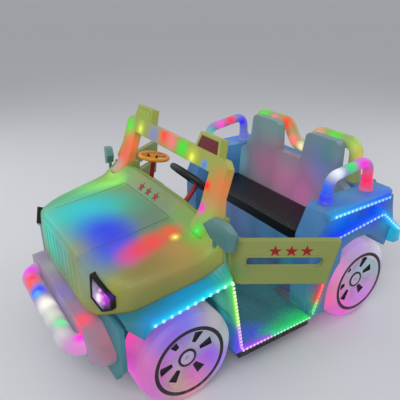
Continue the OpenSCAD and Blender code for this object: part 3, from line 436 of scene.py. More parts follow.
REAR_STRIPS = [
    (REAR_LOW_RUN[0], REAR_LOW_RUN[2], 70, "1038e8", "1060e8", 0.95),
    (*REAR_LOW_RUN[2:], 60, "1080e8", "10b0e0", 0.9),
    (*REAR_HIGH_RUN, 55, "10a0e8", "1060e8", 0.9),
    (*OPENING_REAR[:2], 50, "20b868", "60a060", 0.7),
    (*OPENING_REAR[1:3], 50, "e04840", "f03030", 0.7),
    (REAR_LOW_RUN[0], REAR_LOW_RUN[2], 22, "0428ff", "0464ff", 1.0),
    (*REAR_LOW_RUN[2:], 22, "0498ff", "04d0ff", 1.0),
    (*REAR_HIGH_RUN, 24, "04a8ff", "0454ff", 1.0),
]

finishes = {
    "front_shell": lit_finish("olive hood lit inside", "8a8a48", HOOD_LAMPS_AND_PAINTED_SHADE, soft=0.012),
    "body_tub": lit_finish(
        "teal tub", "2f7c86", both_sides(TUB_LAMPS_AND_PAINTED_SHADE), both_sides(TUB_STRIPS), upper=(0.52, 0.58, "84984c"),
        soft=0.012
    ),
    "rear_body": lit_finish("blue rear body", "4880b4", both_sides(REAR_LAMPS), both_sides(REAR_STRIPS)),
    "windscreen_frame": lit_finish("olive windscreen frame lit inside", "98a048", SCREEN_LAMPS, inner=0.16),
    # The door's one spot is painted shade on its curved hinge end
    "door_left": lit_finish(
        "olive door", "808c4a", both_sides([(514, -197, 526, 60, "4f7a48", 0.7)]), dust=0.15,
        upper=(0.515, 0.54, "868e4c")
    ),
    # The mirror's lighter colour above z 0.69 to 0.735 is a painted highlight on its upper face
    "mirrors": lit_finish("grey teal mirror", "4c7876", inner=0.1, dust=0.1, upper=(0.69, 0.735, "5c8886")),
    "front_bumper": lit_finish("pale bumper beam", "9c8ca6", BEAM_LAMPS, inner=0.2),
    "bumper_tube": lit_finish("lit bumper tube", "b4a8c0", TUBE_LAMPS, inner=0.3, dust=0.1),
    "rear_bumper": lit_finish("cyan rear bumper", "2f80b8", both_sides([(500, 800, 400, 120, "20c8e0", 0.8)])),
    "seat_base": lit_finish("lilac seat base", "5c6c96", SEAT_BASE_PAINTED_LIGHT),
    "seat_back": lit_finish("grey teal seat back", "7d9096", SEAT_LAMPS, inner=0.18),
    "roll_hoop": lit_finish("lit roll hoop", "98a868", HOOP_LAMPS, inner=0.28),
    "grab_rails": lit_finish("lit grab rails", "8894c8", RAIL_LAMPS, inner=0.28),
    "chassis_frame": plain_finish("black painted frame", "14151c", 0.55, dust=0.25),
    # The bezel's two violet spots are painted reflections on its black gloss
    "headlamp_bezels": lit_finish(
        "black gloss bezel", "0c0a12",
        both_sides([(408, -656, 520, 22, "4c1490", 0.8), (386, -674, 548, 12, "6020a0", 0.7)]), inner=0.05,
        rough=0.22, dust=0.1, mottle=0.1, soft=0.0
    ),
    "steering_wheel": plain_finish("black moulded rim", "121214", 0.45, grain=500.0, bump=0.5, dust=0.1),
    "steering_column": plain_finish("red column sleeve", "8d1220", 0.35, dust=0.1),
    "front_axle": plain_finish("black axle steel", "222326", 0.45, metal=0.6, dust=0.6),
    "knuckle_left": plain_finish("zinc plated steel", "8b8d90", 0.35, metal=0.9, dust=0.4),
    "drive_motor": plain_finish("black motor case", "1a1a1c", 0.6, dust=0.4)
}
for source, parts in {
    "door_left": "door_right", "steering_column": "toy_column", "front_axle": "rear_axle",
    "knuckle_left": "knuckle_right tie_rod",
    "drive_motor": "battery pedal hub_front_left hub_front_right hub_rear_left hub_rear_right"
}.items():
    for part in parts.split():
        finishes[part] = finishes[source]


def lamp_glass():
    """The two panels on the windscreen: dark red where x > 0 and yellow green where x < 0, ribbed."""
    material, tree, shader, position = start_material("coloured lamp panel")
    x = put(tree, "SeparateXYZ", [position]).outputs[0]
    colour = blend_colour(tree, ramp(tree, x, -0.01, 0.01), ink("82982a"), ink("560a16"))
    ribs = put(tree, "TexWave", {"Vector": position, "Scale": 60.0}, bands_direction="X").outputs[1]
    finish_skin(tree, shader, position, colour, 0.25, 0.3, grain=500.0, dust_top=0.3, bump=0.1, dust=0.0)
    bump = put(tree, "Bump", {"Strength": 0.4, "Distance": 0.001, "Height": ribs})
    tree.links.new(bump.outputs[0], shader.inputs["Normal"])
    give_light(tree, shader, colour, 0.25)
    return material


finishes["lamp_panels"] = lamp_glass()


def band(tree, value, low, high, edge):
    """1 between low and high, eased to 0 over edge on both sides."""
    return times(tree, ramp(tree, value, low - edge, low), ramp(tree, value, high, high + edge, 1.0, 0.0))


def play_wheel_finish():
    """Orange play wheel: dark in noise patches within a band by the distance from its hub."""
    middle = sum(np.array(corner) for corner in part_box("toy_wheel")) / 2
    material, tree, shader, position = start_material("orange play wheel")
    away = vectors(tree, "LENGTH", vectors(tree, "SUBTRACT", position, tuple(middle.tolist())))
    patches = ramp(tree, noise(tree, position, 26.0, 1.0), 0.5, 0.56)
    dark = times(tree, band(tree, away, 0.014, 0.05, 0.004), patches)
    colour = blend_colour(tree, dark, ink("de8c1a"), ink("301a14"))
    finish_skin(tree, shader, position, colour, 0.32, 0.3, grain=900.0, dust_top=0.5, bump=0.2, dust=0.0)
    return material


finishes["toy_wheel"] = play_wheel_finish()


RIM_RING, HUB_RING = (0.137, 0.1525), (0.03, 0.04)
WINDOW_FOOT, WINDOW_HEAD = 0.064, 0.1175
WINDOW_ANGLES = (13, 57, 125, 193, 237, 305)


def make_window_mask():
    """Spoke window at an angle a: with p = dy cos a + dz sin a and q = dz cos a - dy sin a, it is 1
    where 0.064 < p < 0.1175 and |q| < 0.0095 + 0.2 (p - 0.064)."""
    sockets = "Float Across, Float Up, Float Cosine, Float Sine, Float Mask"
    tree, a, z = new_group("spoke window", sockets, "Float Mask")
    p = sums(tree, "ADD", times(tree, a["Across"], a["Cosine"]), times(tree, a["Up"], a["Sine"]))
    q = sums(tree, "SUBTRACT", times(tree, a["Up"], a["Cosine"]), times(tree, a["Across"], a["Sine"]))
    flare = times(tree, sums(tree, "SUBTRACT", p, WINDOW_FOOT), 0.2)
    side = sums(tree, "SUBTRACT", sums(tree, "ADD", 0.0095, flare), sums(tree, "ABSOLUTE", q))
    length = band(tree, p, WINDOW_FOOT, WINDOW_HEAD, 0.001)
    inside = times(tree, length, ramp(tree, side, -0.0005, 0.0005))
    feed(tree, z, [sums(tree, "MAXIMUM", a["Mask"], inside)])
    return tree


SPOKE_WINDOW = make_window_mask()


def wheel_finish(name, side, wheel_y, code, spots):
    """Wheel moulding: black rim ring, hub ring and spoke windows, by the distance r from the axle
    line, r^2 = dy^2 + dz^2, each only on the outer face, beyond a depth side * x."""
    material, tree, shader, position = start_material(name)
    colour, glow = lamp_chain(tree, position, ink(code), 0.3, spots)
    x, y, z = put(tree, "SeparateXYZ", [position]).outputs
    dy, dz = sums(tree, "SUBTRACT", y, wheel_y), sums(tree, "SUBTRACT", z, WHEEL_Z)
    r = sums(tree, "SQRT", sums(tree, "ADD", times(tree, dy, dy), times(tree, dz, dz)))
    out = times(tree, x, side)
    ring = times(tree, band(tree, r, *RIM_RING, 0.0008), ramp(tree, out, 0.5385, 0.5395))
    hub = times(tree, band(tree, r, *HUB_RING, 0.0008), ramp(tree, out, 0.515, 0.517))
    windows = 0.0
    for angle in WINDOW_ANGLES:
        turn = math.radians(angle)
        windows = use_group(tree, SPOKE_WINDOW, [dy, dz, math.cos(turn), math.sin(turn), windows])[0]
    outside = times(tree, windows, ramp(tree, out, 0.485, 0.49))
    dark = sums(tree, "MAXIMUM", sums(tree, "MAXIMUM", ring, outside), hub)
    share = times(tree, glow, sums(tree, "SUBTRACT", 1.0, dark))
    painted = blend_colour(tree, dark, colour, ink("261a24"))
    base = scaled(tree, painted, sums(tree, "SUBTRACT", 1.0, share))
    finish_skin(tree, shader, position, base, 0.4, 0.15, 600.0, dust_top=0.16, bump=0.2, dust=0.4, soft=0.005)
    give_light(tree, shader, painted, share)
    return material


FRONT_WHEEL_LAMPS = [
    (388, -580, 303, 170, "f850a4", 1.0), (455, -630, 190, 150, "dc4cc8", 1.0),
    (510, -555, 250, 100, "c868b0", 0.8), (500, -560, 100, 110, "c860b8", 0.85),
    (505, -440, 404, 150, "6068ec", 0.85), (519, -502, 350, 90, "8860d8", 0.85),
    (519, -284, 348, 110, "b8b0b4", 0.8), (537, -253, 247, 110, "a0b4b4", 0.8),
    (537, -275, 130, 90, "a080f0", 0.85), (541, -415, 60, 110, "dc7890", 0.9),
    (512, -330, 250, 70, "98a8b4", 0.7), (509, -325, 160, 80, "9458d8", 0.9),
    (510, -380, 110, 70, "c468b8", 0.85), (523, -470, 95, 70, "b0988c", 0.8),
    (512, -488, 252, 70, "a878d0", 0.8),
]
REAR_WHEEL_LAMPS = [
    (512, 362, 308, 130, "e07cc0", 0.9), (490, 336, 150, 140, "f85c98", 0.95),
    (490, 520, 410, 140, "b48cd8", 0.85), (526, 659, 344, 140, "ccc4d8", 0.85),
    (535, 445, 60, 140, "e04ccc", 0.95), (509, 565, 240, 60, "94a0c0", 0.8),
    (512, 635, 240, 80, "88b0b0", 0.85), (535, 601, 94, 100, "c470d8", 0.85),
]
for end, wheel_y, code, lamps in (
    ("front", FRONT_AXLE_Y, "b8a8c8", FRONT_WHEEL_LAMPS), ("rear", REAR_AXLE_Y, "c4b4cc", REAR_WHEEL_LAMPS)
):
    for side, s in (("left", 1.0), ("right", -1.0)):
        spots = [(s * x, *rest) for x, *rest in lamps]
        finishes[f"wheel_{end}_{side}"] = wheel_finish(f"lit {end} {side} wheel", s, wheel_y, code, spots)


def lamp_finish(name, *lines):
    """Bright lamps whose colour follows the strip they belong to."""
    return lit_finish(
        name, "e8f4ff", lines=both_sides(lines), inner=1.0, rough=0.2, dust=0.0, mottle=0.0, soft=0.0
    )


finishes["fender_strips"] = lamp_finish(
    "fender lens bar", (*FENDER_RUN[:2], 50, "00c0ff", "00e0f8", 1.0),
    (*FENDER_RUN[1:], 50, "00e0f8", "50f0a0", 1.0)
)
finishes["sill_strips"] = lamp_finish(
    "sill lens bar", (SILL_RUN[0], SILL_TURN, 30, "b838e8", "a050d8", 1.0),
    (SILL_TURN, SILL_RUN[1], 30, "08c080", "10d058", 1.0)
)
finishes["rear_strips"] = lamp_finish(
    "rear lens bar", (REAR_LOW_RUN[0], REAR_LOW_RUN[2], 30, "0830ff", "0870ff", 1.0),
    (*REAR_LOW_RUN[2:], 30, "08a0ff", "08d0f0", 1.0), (*REAR_HIGH_RUN, 30, "08c8f8", "0878f8", 1.0)
)

# Headlamp lens: a white projector spot, magenta points round it, violet towards the outer edge
LENS_LAMPS = [
    (345, -691, 529, 35, "a8a0b8", 0.8), (350, -690, 500, 30, "b8a8c8", 0.6),
    (369, -680, 471, 22, "b0b4ec", 0.8), (390, -668, 510, 34, "c030e0", 0.95),
    (366, -684, 498, 24, "f8b0ff", 0.95), (366, -685, 508, 12, "ffffff", 1.0),
    (366, -685, 494, 12, "ffffff", 1.0), (371, -672, 538, 9, "ff90f0", 1.0), (366, -679, 528, 8, "ffb8ff", 1.0),
    (393, -665, 522, 9, "ff70d8", 1.0), (388, -676, 487, 9, "e870ff", 1.0), (378, -677, 510, 8, "ffa0e0", 1.0),
]
finishes["headlamp_lenses"] = lit_finish(
    "headlamp lens", "2c2438", both_sides(LENS_LAMPS), inner=0.2, rough=0.08, dust=0.0, mottle=0.4, soft=0.0
)

for name, material in finishes.items():
    mesh = nodes[name].data
    mesh.materials.clear()
    mesh.materials.append(material)


# ---- surfaces


def add_piece(name, points, faces, material, body, slot, smooth=True):
    """A named mesh piece that rides on a body."""
    mesh = bpy.data.meshes.new(name)
    mesh.from_pydata(np.asarray(points, float).reshape(-1, 3).tolist(), [], faces)
    mesh.validate()
    mesh.polygons.foreach_set("use_smooth", np.full(len(mesh.polygons), smooth))
    mesh.materials.append(material)
    mesh.update()
    piece = bpy.data.objects.new(name, mesh)
    bpy.context.scene.collection.objects.link(piece)
    if body:
        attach(piece, body)
    return piece


def grid_faces(rows, cols, close_cols=False, close_rows=False):
    """Quads of a grid of rows x cols points, either way closed into a ring when asked."""
    i, j = np.meshgrid(
        np.arange(rows if close_rows else rows - 1), np.arange(cols if close_cols else cols - 1), indexing="ij"
    )
    k, m = (j + 1) % cols, (i + 1) % rows
    quads = np.stack([i * cols + j, i * cols + k, m * cols + k, m * cols + j], -1)
    return quads.reshape(-1, 4)


def capped_faces(rows, cols):
    """Faces of a tube of rings with a pole before its first ring and one after its last."""
    j = np.arange(cols)
    last = rows * cols + 1
    foot = np.stack([np.zeros(cols, int), 1 + (j + 1) % cols, 1 + j], -1)
    head = np.stack([np.full(cols, last), last - cols + j, last - cols + (j + 1) % cols], -1)
    return [*foot.tolist(), *(grid_faces(rows, cols, True) + 1).tolist(), *head.tolist()]


def merged(parts):
    """Several (points, faces) as one."""
    points, faces, count = [], [], 0
    for p, f in parts:
        points.append(p)
        faces += [[v + count for v in face] for face in f]
        count += len(p)
    return np.concatenate(points), faces


def mirror_part(part):
    """(points, faces) across the middle plane x = 0, its faces turned back outwards."""
    points, faces = part
    return points * [-1, 1, 1], [face[::-1] for face in faces]


def add_pair(name, part, material, slot):
    """A part and its mirror image as one piece of the car's body."""
    add_piece(name, *merged([part, mirror_part(part)]), material, "car_body", slot)


def angles(count):
    """Even steps round a circle."""
    return np.arange(count) * 2 * np.pi / count


def rounded_square(count, power):
    """Ring of a rounded square: (sign(cos u) |cos u|^power, sign(sin u) |sin u|^power)."""
    u = angles(count)
    return np.stack([np.sign(f(u)) * np.abs(f(u)) ** power for f in (np.cos, np.sin)], -1)


def frames(normal):
    """Two unit vectors square to each normal: e1 = up x n, e2 = n x e1."""
    normal = np.asarray(normal, float)
    up = np.where(np.abs(normal[..., 2:3]) > 0.9, [1.0, 0.0, 0.0], [0.0, 0.0, 1.0])
    e1 = np.cross(up, normal)
    e1 /= np.linalg.norm(e1, axis=-1, keepdims=True)
    return e1, np.cross(normal, e1)


def domes(centres, normals, radius):
    """Lamp domes: p = c + radius (cos v (cos u e1 + sin u e2) + DOME_RISE sin v n), u round and v from
    the foot to the crown, each closed by its crown point."""
    turns, rings = 12, 4
    u = angles(turns)
    v = np.arange(rings) * (np.pi / 2) / rings
    e1, e2 = frames(normals)
    out = np.cos(v)[:, None, None] * (
        np.cos(u)[:, None] * e1[:, None, None] + np.sin(u)[:, None] * e2[:, None, None]
    )
    rise = DOME_RISE * np.sin(v)[:, None, None] * normals[:, None, None]
    wall = centres[:, None, None] + radius * (out + rise)
    crown = centres + radius * DOME_RISE * normals
    points = np.concatenate([centres[:, None], wall.reshape(len(centres), -1, 3), crown[:, None]], 1)
    one = capped_faces(rings, turns)
    faces = [[v + i * points.shape[1] for v in face] for i in range(len(centres)) for face in one]
    return points.reshape(-1, 3), faces


def running(path):
    """Length of a line up to each of its points."""
    return np.concatenate([[0], np.cumsum(np.linalg.norm(np.diff(path, axis=0), axis=1))])


def along(run, at):
    """Points of a broken line at running lengths, and the line's whole length."""
    run = np.asarray(run, float)
    length = running(run)
    at = np.clip(at, 0, 1) * length[-1]
    return np.stack([np.interp(at, length, run[:, k]) for k in range(3)], -1), length[-1]


def bead(path, half_wide, half_high, up, closed=False, turns=10):
    """A band along a path: p = c + k (half_wide cos a S + half_high sin a U), U the up vectors and
    S = U x T, with k easing to 0 as a half circle at open ends, which close in a pole."""
    path = np.asarray(path, float)
    tangent = np.roll(path, -1, 0) - np.roll(path, 1, 0) if closed else np.gradient(path, axis=0)
    up = np.broadcast_to(np.asarray(up, float), path.shape)
    side = np.cross(up, tangent)
    side /= np.linalg.norm(side, axis=1, keepdims=True)
    gap = running(path)
    end = np.minimum(gap, gap[-1] - gap)
    k = np.ones(len(path)) if closed else np.sqrt(1 - np.clip(1 - end / half_wide, 0, 1) ** 2)
    a = angles(turns)
    ring = path[:, None] + k[:, None, None] * (
        half_wide * np.cos(a)[:, None] * side[:, None] + half_high * np.sin(a)[:, None] * up[:, None]
    )
    if closed:
        return ring.reshape(-1, 3), grid_faces(len(path), turns, True, True).tolist()
    points = np.concatenate([path[:1], ring[1:-1].reshape(-1, 3), path[-1:]])
    return points, capped_faces(len(path) - 2, turns)


def eased(count, share):
    """Steps from 0 to 1, close together at both ends."""
    edge = share * (1 - np.cos(np.linspace(0, np.pi / 2, 5)))
    return np.concatenate([edge, np.linspace(share, 1 - share, count)[1:-1], 1 - edge[::-1]])


# ---- lamp strips


def strip(name, run, pitch, radius, *lines, lift=0.006):
    """A row of lamp domes at an even pitch along a broken line, on both outer sides of the car."""
    length = along(run, np.zeros(1))[1]
    left = along(run, np.linspace(0, 1, max(2, round(length / pitch) + 1)))[0] + [lift, 0, 0]
    part = domes(left, np.tile([1.0, 0, 0], (len(left), 1)), radius)
    add_pair(name, part, lamp_finish(name.replace("_", " "), *lines), "strip_lit")


def lens_band(name, run, *lines):
    """A soft moulded lens along a broken line on both outer sides of the car."""
    length = along(run, np.zeros(1))[1]
    path = along(run, eased(40, LENS_HALF_WIDE / length))[0]
    part = bead(path, LENS_HALF_WIDE, LENS_HALF_HIGH, (1.0, 0, 0))
    add_pair(name, part, lamp_finish(name.replace("_", " "), *lines), "strip_lit")


OPENING_TURN = (BODY_X, 0.256, 0.222)
# The front lens stops below the open door's lower edge
lens_band(
    "opening_front_lens", [(BODY_X, -0.2208, 0.45), OPENING_FRONT[1]],
    (OPENING_FRONT[0], FRONT_TURN, 50, "88f048", "a0f058", 1.0),
    (FRONT_TURN, OPENING_FRONT[1], 20, "b048ff", "9038ff", 1.0)
)
lens_band(
    "opening_rear_lens", OPENING_REAR, (*OPENING_REAR[:2], 30, "20e070", "40e060", 1.0),
    (OPENING_TURN, OPENING_REAR[3], 30, "ff4030", "ff2838", 1.0)
)
strip(
    "fender_lamps", FENDER_RUN, 0.033, 0.0076, (*FENDER_RUN[:2], 50, "a0f4ff", "a8fcff", 1.0),
    (*FENDER_RUN[1:], 50, "a8fcff", "d8ffd8", 1.0)
)
strip(
    "opening_front_lamps", OPENING_FRONT, 0.019, 0.0064,
    (OPENING_FRONT[0], FRONT_TURN, 50, "fbffc8", "f4ffc0", 1.0),
    (FRONT_TURN, OPENING_FRONT[1], 20, "f8b0ff", "f4a0ff", 1.0), lift=0.003
)
strip(
    "sill_lamps", SILL_RUN, 0.019, 0.0058,
    (SILL_RUN[0], (BODY_X, -0.008, 0.137), 30, "fcc0ff", "f0a8ff", 1.0),
    ((BODY_X, 0.008, 0.137), SILL_RUN[1], 30, "90ffd8", "80ffa8", 1.0)
)
strip(
    "opening_rear_lamps", OPENING_REAR, 0.017, 0.0048, (*OPENING_REAR[:2], 30, "90ffb0", "b0ffa0", 1.0),
    (OPENING_TURN, OPENING_REAR[3], 30, "ff8a60", "ff5060", 1.0), lift=0.003
)
strip(
    "rear_low_lamps", REAR_LOW_RUN, 0.024, 0.006,
    (REAR_LOW_RUN[0], REAR_LOW_RUN[2], 30, "58b0ff", "90ecff", 1.0),
    (*REAR_LOW_RUN[2:], 30, "98f4ff", "a0fcff", 1.0)
)
strip("rear_high_lamps", REAR_HIGH_RUN, 0.024, 0.0062, (*REAR_HIGH_RUN, 30, "b8f8ff", "78ccff", 1.0))


# ---- collars, fairings, rims and lines


def turned(profile, base, axis, turns=40):
    """A ring turned about an axis: p = base + h axis + r (cos u e1 + sin u e2) for each (r, h)."""
    axis = np.asarray(axis, float) / np.linalg.norm(axis)
    e1, e2 = frames(axis)
    u = angles(turns)
    around = np.cos(u)[:, None] * e1 + np.sin(u)[:, None] * e2
    profile = np.asarray(profile, float)
    points = base + profile[:, 1, None, None] * axis + profile[:, 0, None, None] * around
    return points.reshape(-1, 3), grid_faces(len(profile), turns, True, True).tolist()


# Foot sleeves of the grab rails: 33 mm at the deck, 29 mm over a height of 45 mm
COLLAR = [
    (0.0325, -0.002), (0.0332, 0.003), (0.0325, 0.007), (0.0303, 0.011), (0.0294, 0.016),
    (0.0286, 0.038), (0.0278, 0.043), (0.0262, 0.046), (0.0242, 0.0452), (0.0242, -0.002),
]
collars = [
    turned(COLLAR, np.array([x, y, 0.6403]), (0, lean, 1.0))
    for x in (0.455, -0.455) for y, lean in ((0.329, 0.107), (0.592, 0.0))
]
add_piece("rail_collars", *merged(collars), finishes["grab_rails"], "car_body", "tube_lit")

# Windscreen pillars: height of their feet, lean back per metre of height, forward sweep of a foot
FOOT_Z, RAKE, FOOT_SWEEP = 0.64, 0.318, 0.044


def fairing(rows=18, cols=40):
    """Foot of a windscreen pillar: rounded rings from FOOT_Z up, between a back in the pillar and a
    front that sweeps forward as (1 - t)^2.4 down to the cowl, t from 0 at the cowl to 1 at the top."""
    t = np.linspace(0, 1, rows)
    z = FOOT_Z + 0.165 * t
    face = -0.219 + (z - 0.749) * RAKE
    front = face + 0.001 - FOOT_SWEEP * (1 - t) ** 2.4
    back = face + 0.02
    low_x, high_x = 0.312 + 0.012 * t + 0.02 * t * (1 - t), 0.424 - 0.009 * t
    cx, cy = rounded_square(cols, 0.42).T
    x = (low_x + high_x)[:, None] / 2 + (high_x - low_x)[:, None] / 2 * cx
    y = (front + back)[:, None] / 2 + (back - front)[:, None] / 2 * cy
    rings = np.stack([x, y, np.broadcast_to(z[:, None], x.shape)], -1)
    points = np.concatenate([rings[0].mean(0)[None], rings.reshape(-1, 3), rings[-1].mean(0)[None]])
    return points, capped_faces(rows, cols)


add_pair("pillar_fairings", fairing(), finishes["windscreen_frame"], "screen_olive")

# Sections of the hood's middle panel, and half its width
HOOD_Y = [-0.704, -0.641, -0.56, -0.5, -0.335, -0.304, -0.27, -0.24]
HOOD_Z = [0.59, 0.608, 0.616, 0.622, 0.643, 0.648, 0.68, 0.702]
PANEL_HALF = 0.213


def shell_height(x, y):
    """Height of the hood's middle panel: linear between its sections, with a crown of 4 mm."""
    return np.interp(y, HOOD_Y, HOOD_Z) + np.interp(np.abs(x), [0, 0.1065, PANEL_HALF], [0.004, 0.003, 0.0])


def on_hood(x, y, lift):
    """Points of the hood's middle panel."""
    return np.stack([x, y, shell_height(x, y) + lift], -1)


def panel_line(x, y):
    """A flat bead of 2.2 mm along the hood's middle panel."""
    return bead(on_hood(x, y, 0.0002), 0.0011, 0.0007, (0.0, 0, 1.0), turns=6)


side_y = np.linspace(-0.7, -0.306, 50)
lines = [panel_line(np.full(50, x), side_y) for x in (-PANEL_HALF, PANEL_HALF)]
lines.append(panel_line(np.linspace(-PANEL_HALF, PANEL_HALF, 40), np.full(40, -0.3055)))
panel_shadow = plain_finish("panel shadow", "4c5a34", 0.6, dust=0.0)
add_piece("hood_panel_lines", *merged(lines), panel_shadow, "car_body", "hood_olive")


# ---- stars


def star_points(count, radius, inner=0.4, rings=4):
    """Flat five-pointed star: rho(k) = radius or inner * radius in turn, filled by rings s rho."""
    angle = np.pi / 2 + np.arange(10) * np.pi / 5
    rho = np.where(np.arange(10) % 2 == 0, radius, inner * radius)
    corners = np.stack([rho * np.cos(angle), rho * np.sin(angle)], -1)
    steps = np.linspace(0, 1, count + 1)[:-1, None]
    edge = (corners[:, None] * (1 - steps) + np.roll(corners, -1, 0)[:, None] * steps).reshape(-1, 2)
    share = np.arange(1, rings + 1)[:, None, None] / rings
    flat = np.concatenate([[[0.0, 0.0]], (share * edge).reshape(-1, 2)])
    n = len(edge)
    j = np.arange(n)
    fan = np.stack([np.zeros(n, int), 1 + j, 1 + (j + 1) % n], -1)
    return flat, [*fan.tolist(), *(grid_faces(rings, n, True)[:, ::-1] + 1).tolist()]


star_red = plain_finish("dark red star foil", "8e0a10", 0.5, mottle=0.15, bump=0.05, dust=0.0)
FLAT_STAR, STAR_FACES = star_points(4, 0.0255)


def add_stars(name, placed, body, slot):
    """Thin star plates from placed arrays of points, one after another, with a small edge."""
    piece = add_piece(name, *merged([(p, STAR_FACES) for p in placed]), star_red, body, slot, smooth=False)
    edge = piece.modifiers.new("edge", "SOLIDIFY")
    edge.thickness, edge.offset = 0.0006, 1.0


add_stars(
    "cowl_stars",
    [on_hood(x + FLAT_STAR[:, 0], -0.2835 + FLAT_STAR[:, 1] * 0.72, 0.0006) for x in (-0.078, -0.013, 0.053)],
    "car_body", "hood_olive"
)


def on_door(points, side, lift=0.0004):
    """Points given on the closed door's outer face, (y, z), turned open about the hinge."""
    x, y = DOOR_FACE_X + lift - HINGE[0], points[:, 0] - HINGE[1]
    c, s = math.cos(-DOOR_AJAR), math.sin(-DOOR_AJAR)
    return np.stack([side * (HINGE[0] + c * x - s * y), HINGE[1] + s * x + c * y, points[:, 1]], -1)


SLOT_LOW, SLOT_HIGH, SLOT_ROUND = (-0.14, 0.532), (0.148, 0.582), 0.014


def slot_rim(side):
    """A bead round the door's slot: a rounded rectangle walked by its corner arcs."""
    u = np.arange(9) * (np.pi / 2) / 8
    (low_y, low_z), (high_y, high_z) = SLOT_LOW, SLOT_HIGH
    corners = [(high_y, high_z), (low_y, high_z), (low_y, low_z), (high_y, low_z)]
    loop = []
    for k, corner in enumerate(corners):
        turn = u + k * np.pi / 2
        middle = np.array(corner) - SLOT_ROUND * np.array([1 if k in (0, 3) else -1, 1 if k < 2 else -1])
        loop.append(middle + (SLOT_ROUND + 0.002) * np.stack([np.cos(turn), np.sin(turn)], -1))
    out = np.array([math.cos(DOOR_AJAR), -math.sin(DOOR_AJAR), 0.0])
    part = bead(on_door(np.concatenate(loop), 1, 0.0), 0.0042, 0.0026, out, closed=True)
    return part if side > 0 else mirror_part(part)


for side, label in ((1, "left"), (-1, "right")):
    stars = [on_door(FLAT_STAR * [side, 1.0] + [y, 0.607], side) for y in (-0.033, 0.027, 0.084)]
    add_stars(f"door_stars_{label}", stars, f"{label}_door", "door_olive")
    add_piece(f"slot_rim_{label}", *slot_rim(side), finishes["door_left"], f"{label}_door", "door_olive")


# ---- padded seat cushion


def vinyl():
    """Black vinyl: fine leather cells and broad creases by two noises, soft sheen."""
    material, tree, shader, position = start_material("black seat vinyl")
    colour = put(tree, "CombineXYZ", ink("0b0a0e")[:3]).outputs[0]
    finish_skin(tree, shader, position, colour, 0.42, 0.5, grain=260.0, dust_top=0.2, bump=0.35, dust=0.0)
    cells = put(tree, "TexVoronoi", {"Vector": position, "Scale": 420.0}).outputs[0]
    crease = noise(tree, position, 26.0, 5.0)
    height = sums(tree, "ADD", times(tree, cells, 0.35), times(tree, crease, 1.4))
    bump = put(tree, "Bump", {"Strength": 0.35, "Distance": 0.0012, "Height": height})
    tree.links.new(bump.outputs[0], shader.inputs["Normal"])
    return material


BLACK_VINYL = vinyl()
PAD_LOW = np.array([-0.3945, 0.2445, 0.4256])
PAD_HIGH = np.array([0.3945, 0.5055, 0.4868])
PAD_CORNER = 0.22
SWELL = 0.008


def pad_surface(rows, cols, inset):
    """Closed pad: each ring is a rounded rectangle whose long sides draw in by 5 mm between its
    corners, taken in by q(v) and raised by h(v); v runs from the underside over the edge to the top."""
    v = np.linspace(0, 1, rows)
    middle, half = (PAD_LOW + PAD_HIGH) / 2, (PAD_HIGH - PAD_LOW) / 2 - [inset, inset, 0]
    shape = rounded_square(cols, PAD_CORNER)
    shape[:, 1] *= 1 - 0.035 * np.clip(1 - shape[:, 0] ** 2, 0, 1)
    shape[:, 0] *= 1 - 0.01 * np.clip(1 - shape[:, 1] ** 2, 0, 1)
    low, high = PAD_LOW[2], PAD_HIGH[2] - inset
    steps = [0, 0.3, 0.36, 0.42, 0.52, 0.6, 1.0]
    q = np.interp(v, steps, [0.0, 0.95, 0.985, 1.0, 0.998, 0.975, 0.0])
    lift = np.interp(v, steps, [low, low, low + 0.005, low + 0.014, high - 0.01, high - 0.002, high])
    xy = middle[:2] + q[:, None, None] * half[:2] * shape[None]
    grid = np.concatenate([xy, np.broadcast_to(lift[:, None, None], (*xy.shape[:2], 1))], -1)
    points = np.concatenate([grid[0, :1], grid[1:-1].reshape(-1, 3), grid[-1, :1]])
    return points, capped_faces(rows - 2, cols)


def coordinates(mesh):
    """All vertices of a mesh as one array."""
    flat = np.empty(len(mesh.vertices) * 3, np.float32)
    mesh.vertices.foreach_get("co", flat)
    return flat.reshape(-1, 3).astype(float)


def inflate(pad):
    """Fills the pad by cloth simulation: voxel remesh at 6 mm, pressure 4, no gravity, its underside
    held, 20 frames; no point moves more than SWELL and none leaves the pad's own box."""
    voxels = pad.modifiers.new("even skin", "REMESH")
    voxels.mode, voxels.voxel_size = "VOXEL", 0.006
    even = bpy.data.meshes.new_from_object(pad.evaluated_get(bpy.context.evaluated_depsgraph_get()))
    even.materials.clear()
    even.materials.append(BLACK_VINYL)
    pad.modifiers.clear()
    pad.data = even
    start = coordinates(even)
    held = pad.vertex_groups.new(name="held")
    held.add(np.flatnonzero(start[:, 2] < PAD_LOW[2] + 0.003).tolist(), 1.0, "REPLACE")
    cloth = pad.modifiers.new("filling", "CLOTH")
    cloth.point_cache.frame_start, cloth.point_cache.frame_end = 1, 20
    settings = cloth.settings
    settings.quality = 5
    settings.use_pressure, settings.uniform_pressure_force = True, 4.0
    settings.effector_weights.gravity = 0.0
    settings.vertex_group_mass = "held"
    for step in range(1, 21):
        bpy.context.scene.frame_set(step)
    swollen = coordinates(pad.evaluated_get(bpy.context.evaluated_depsgraph_get()).data)
    move = swollen - start
    size = np.linalg.norm(move, axis=1, keepdims=True)
    shown = start + move * np.minimum(1.0, SWELL / np.maximum(size, 1e-9))
    shown = np.clip(shown, PAD_LOW, PAD_HIGH)
    pad.modifiers.remove(cloth)
    pad.vertex_groups.clear()
    even.vertices.foreach_set("co", shown.astype(np.float32).ravel())
    even.polygons.foreach_set("use_smooth", np.full(len(even.polygons), True))
    even.update()
    bpy.context.scene.frame_set(1)


cushion = add_piece("seat_pad", *pad_surface(44, 160, 0.006), BLACK_VINYL, "car_body", "cushion_black")
inflate(cushion)
finer = cushion.modifiers.new("finer", "SUBSURF")
finer.levels = finer.render_levels = 1
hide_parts("seat_cushion")


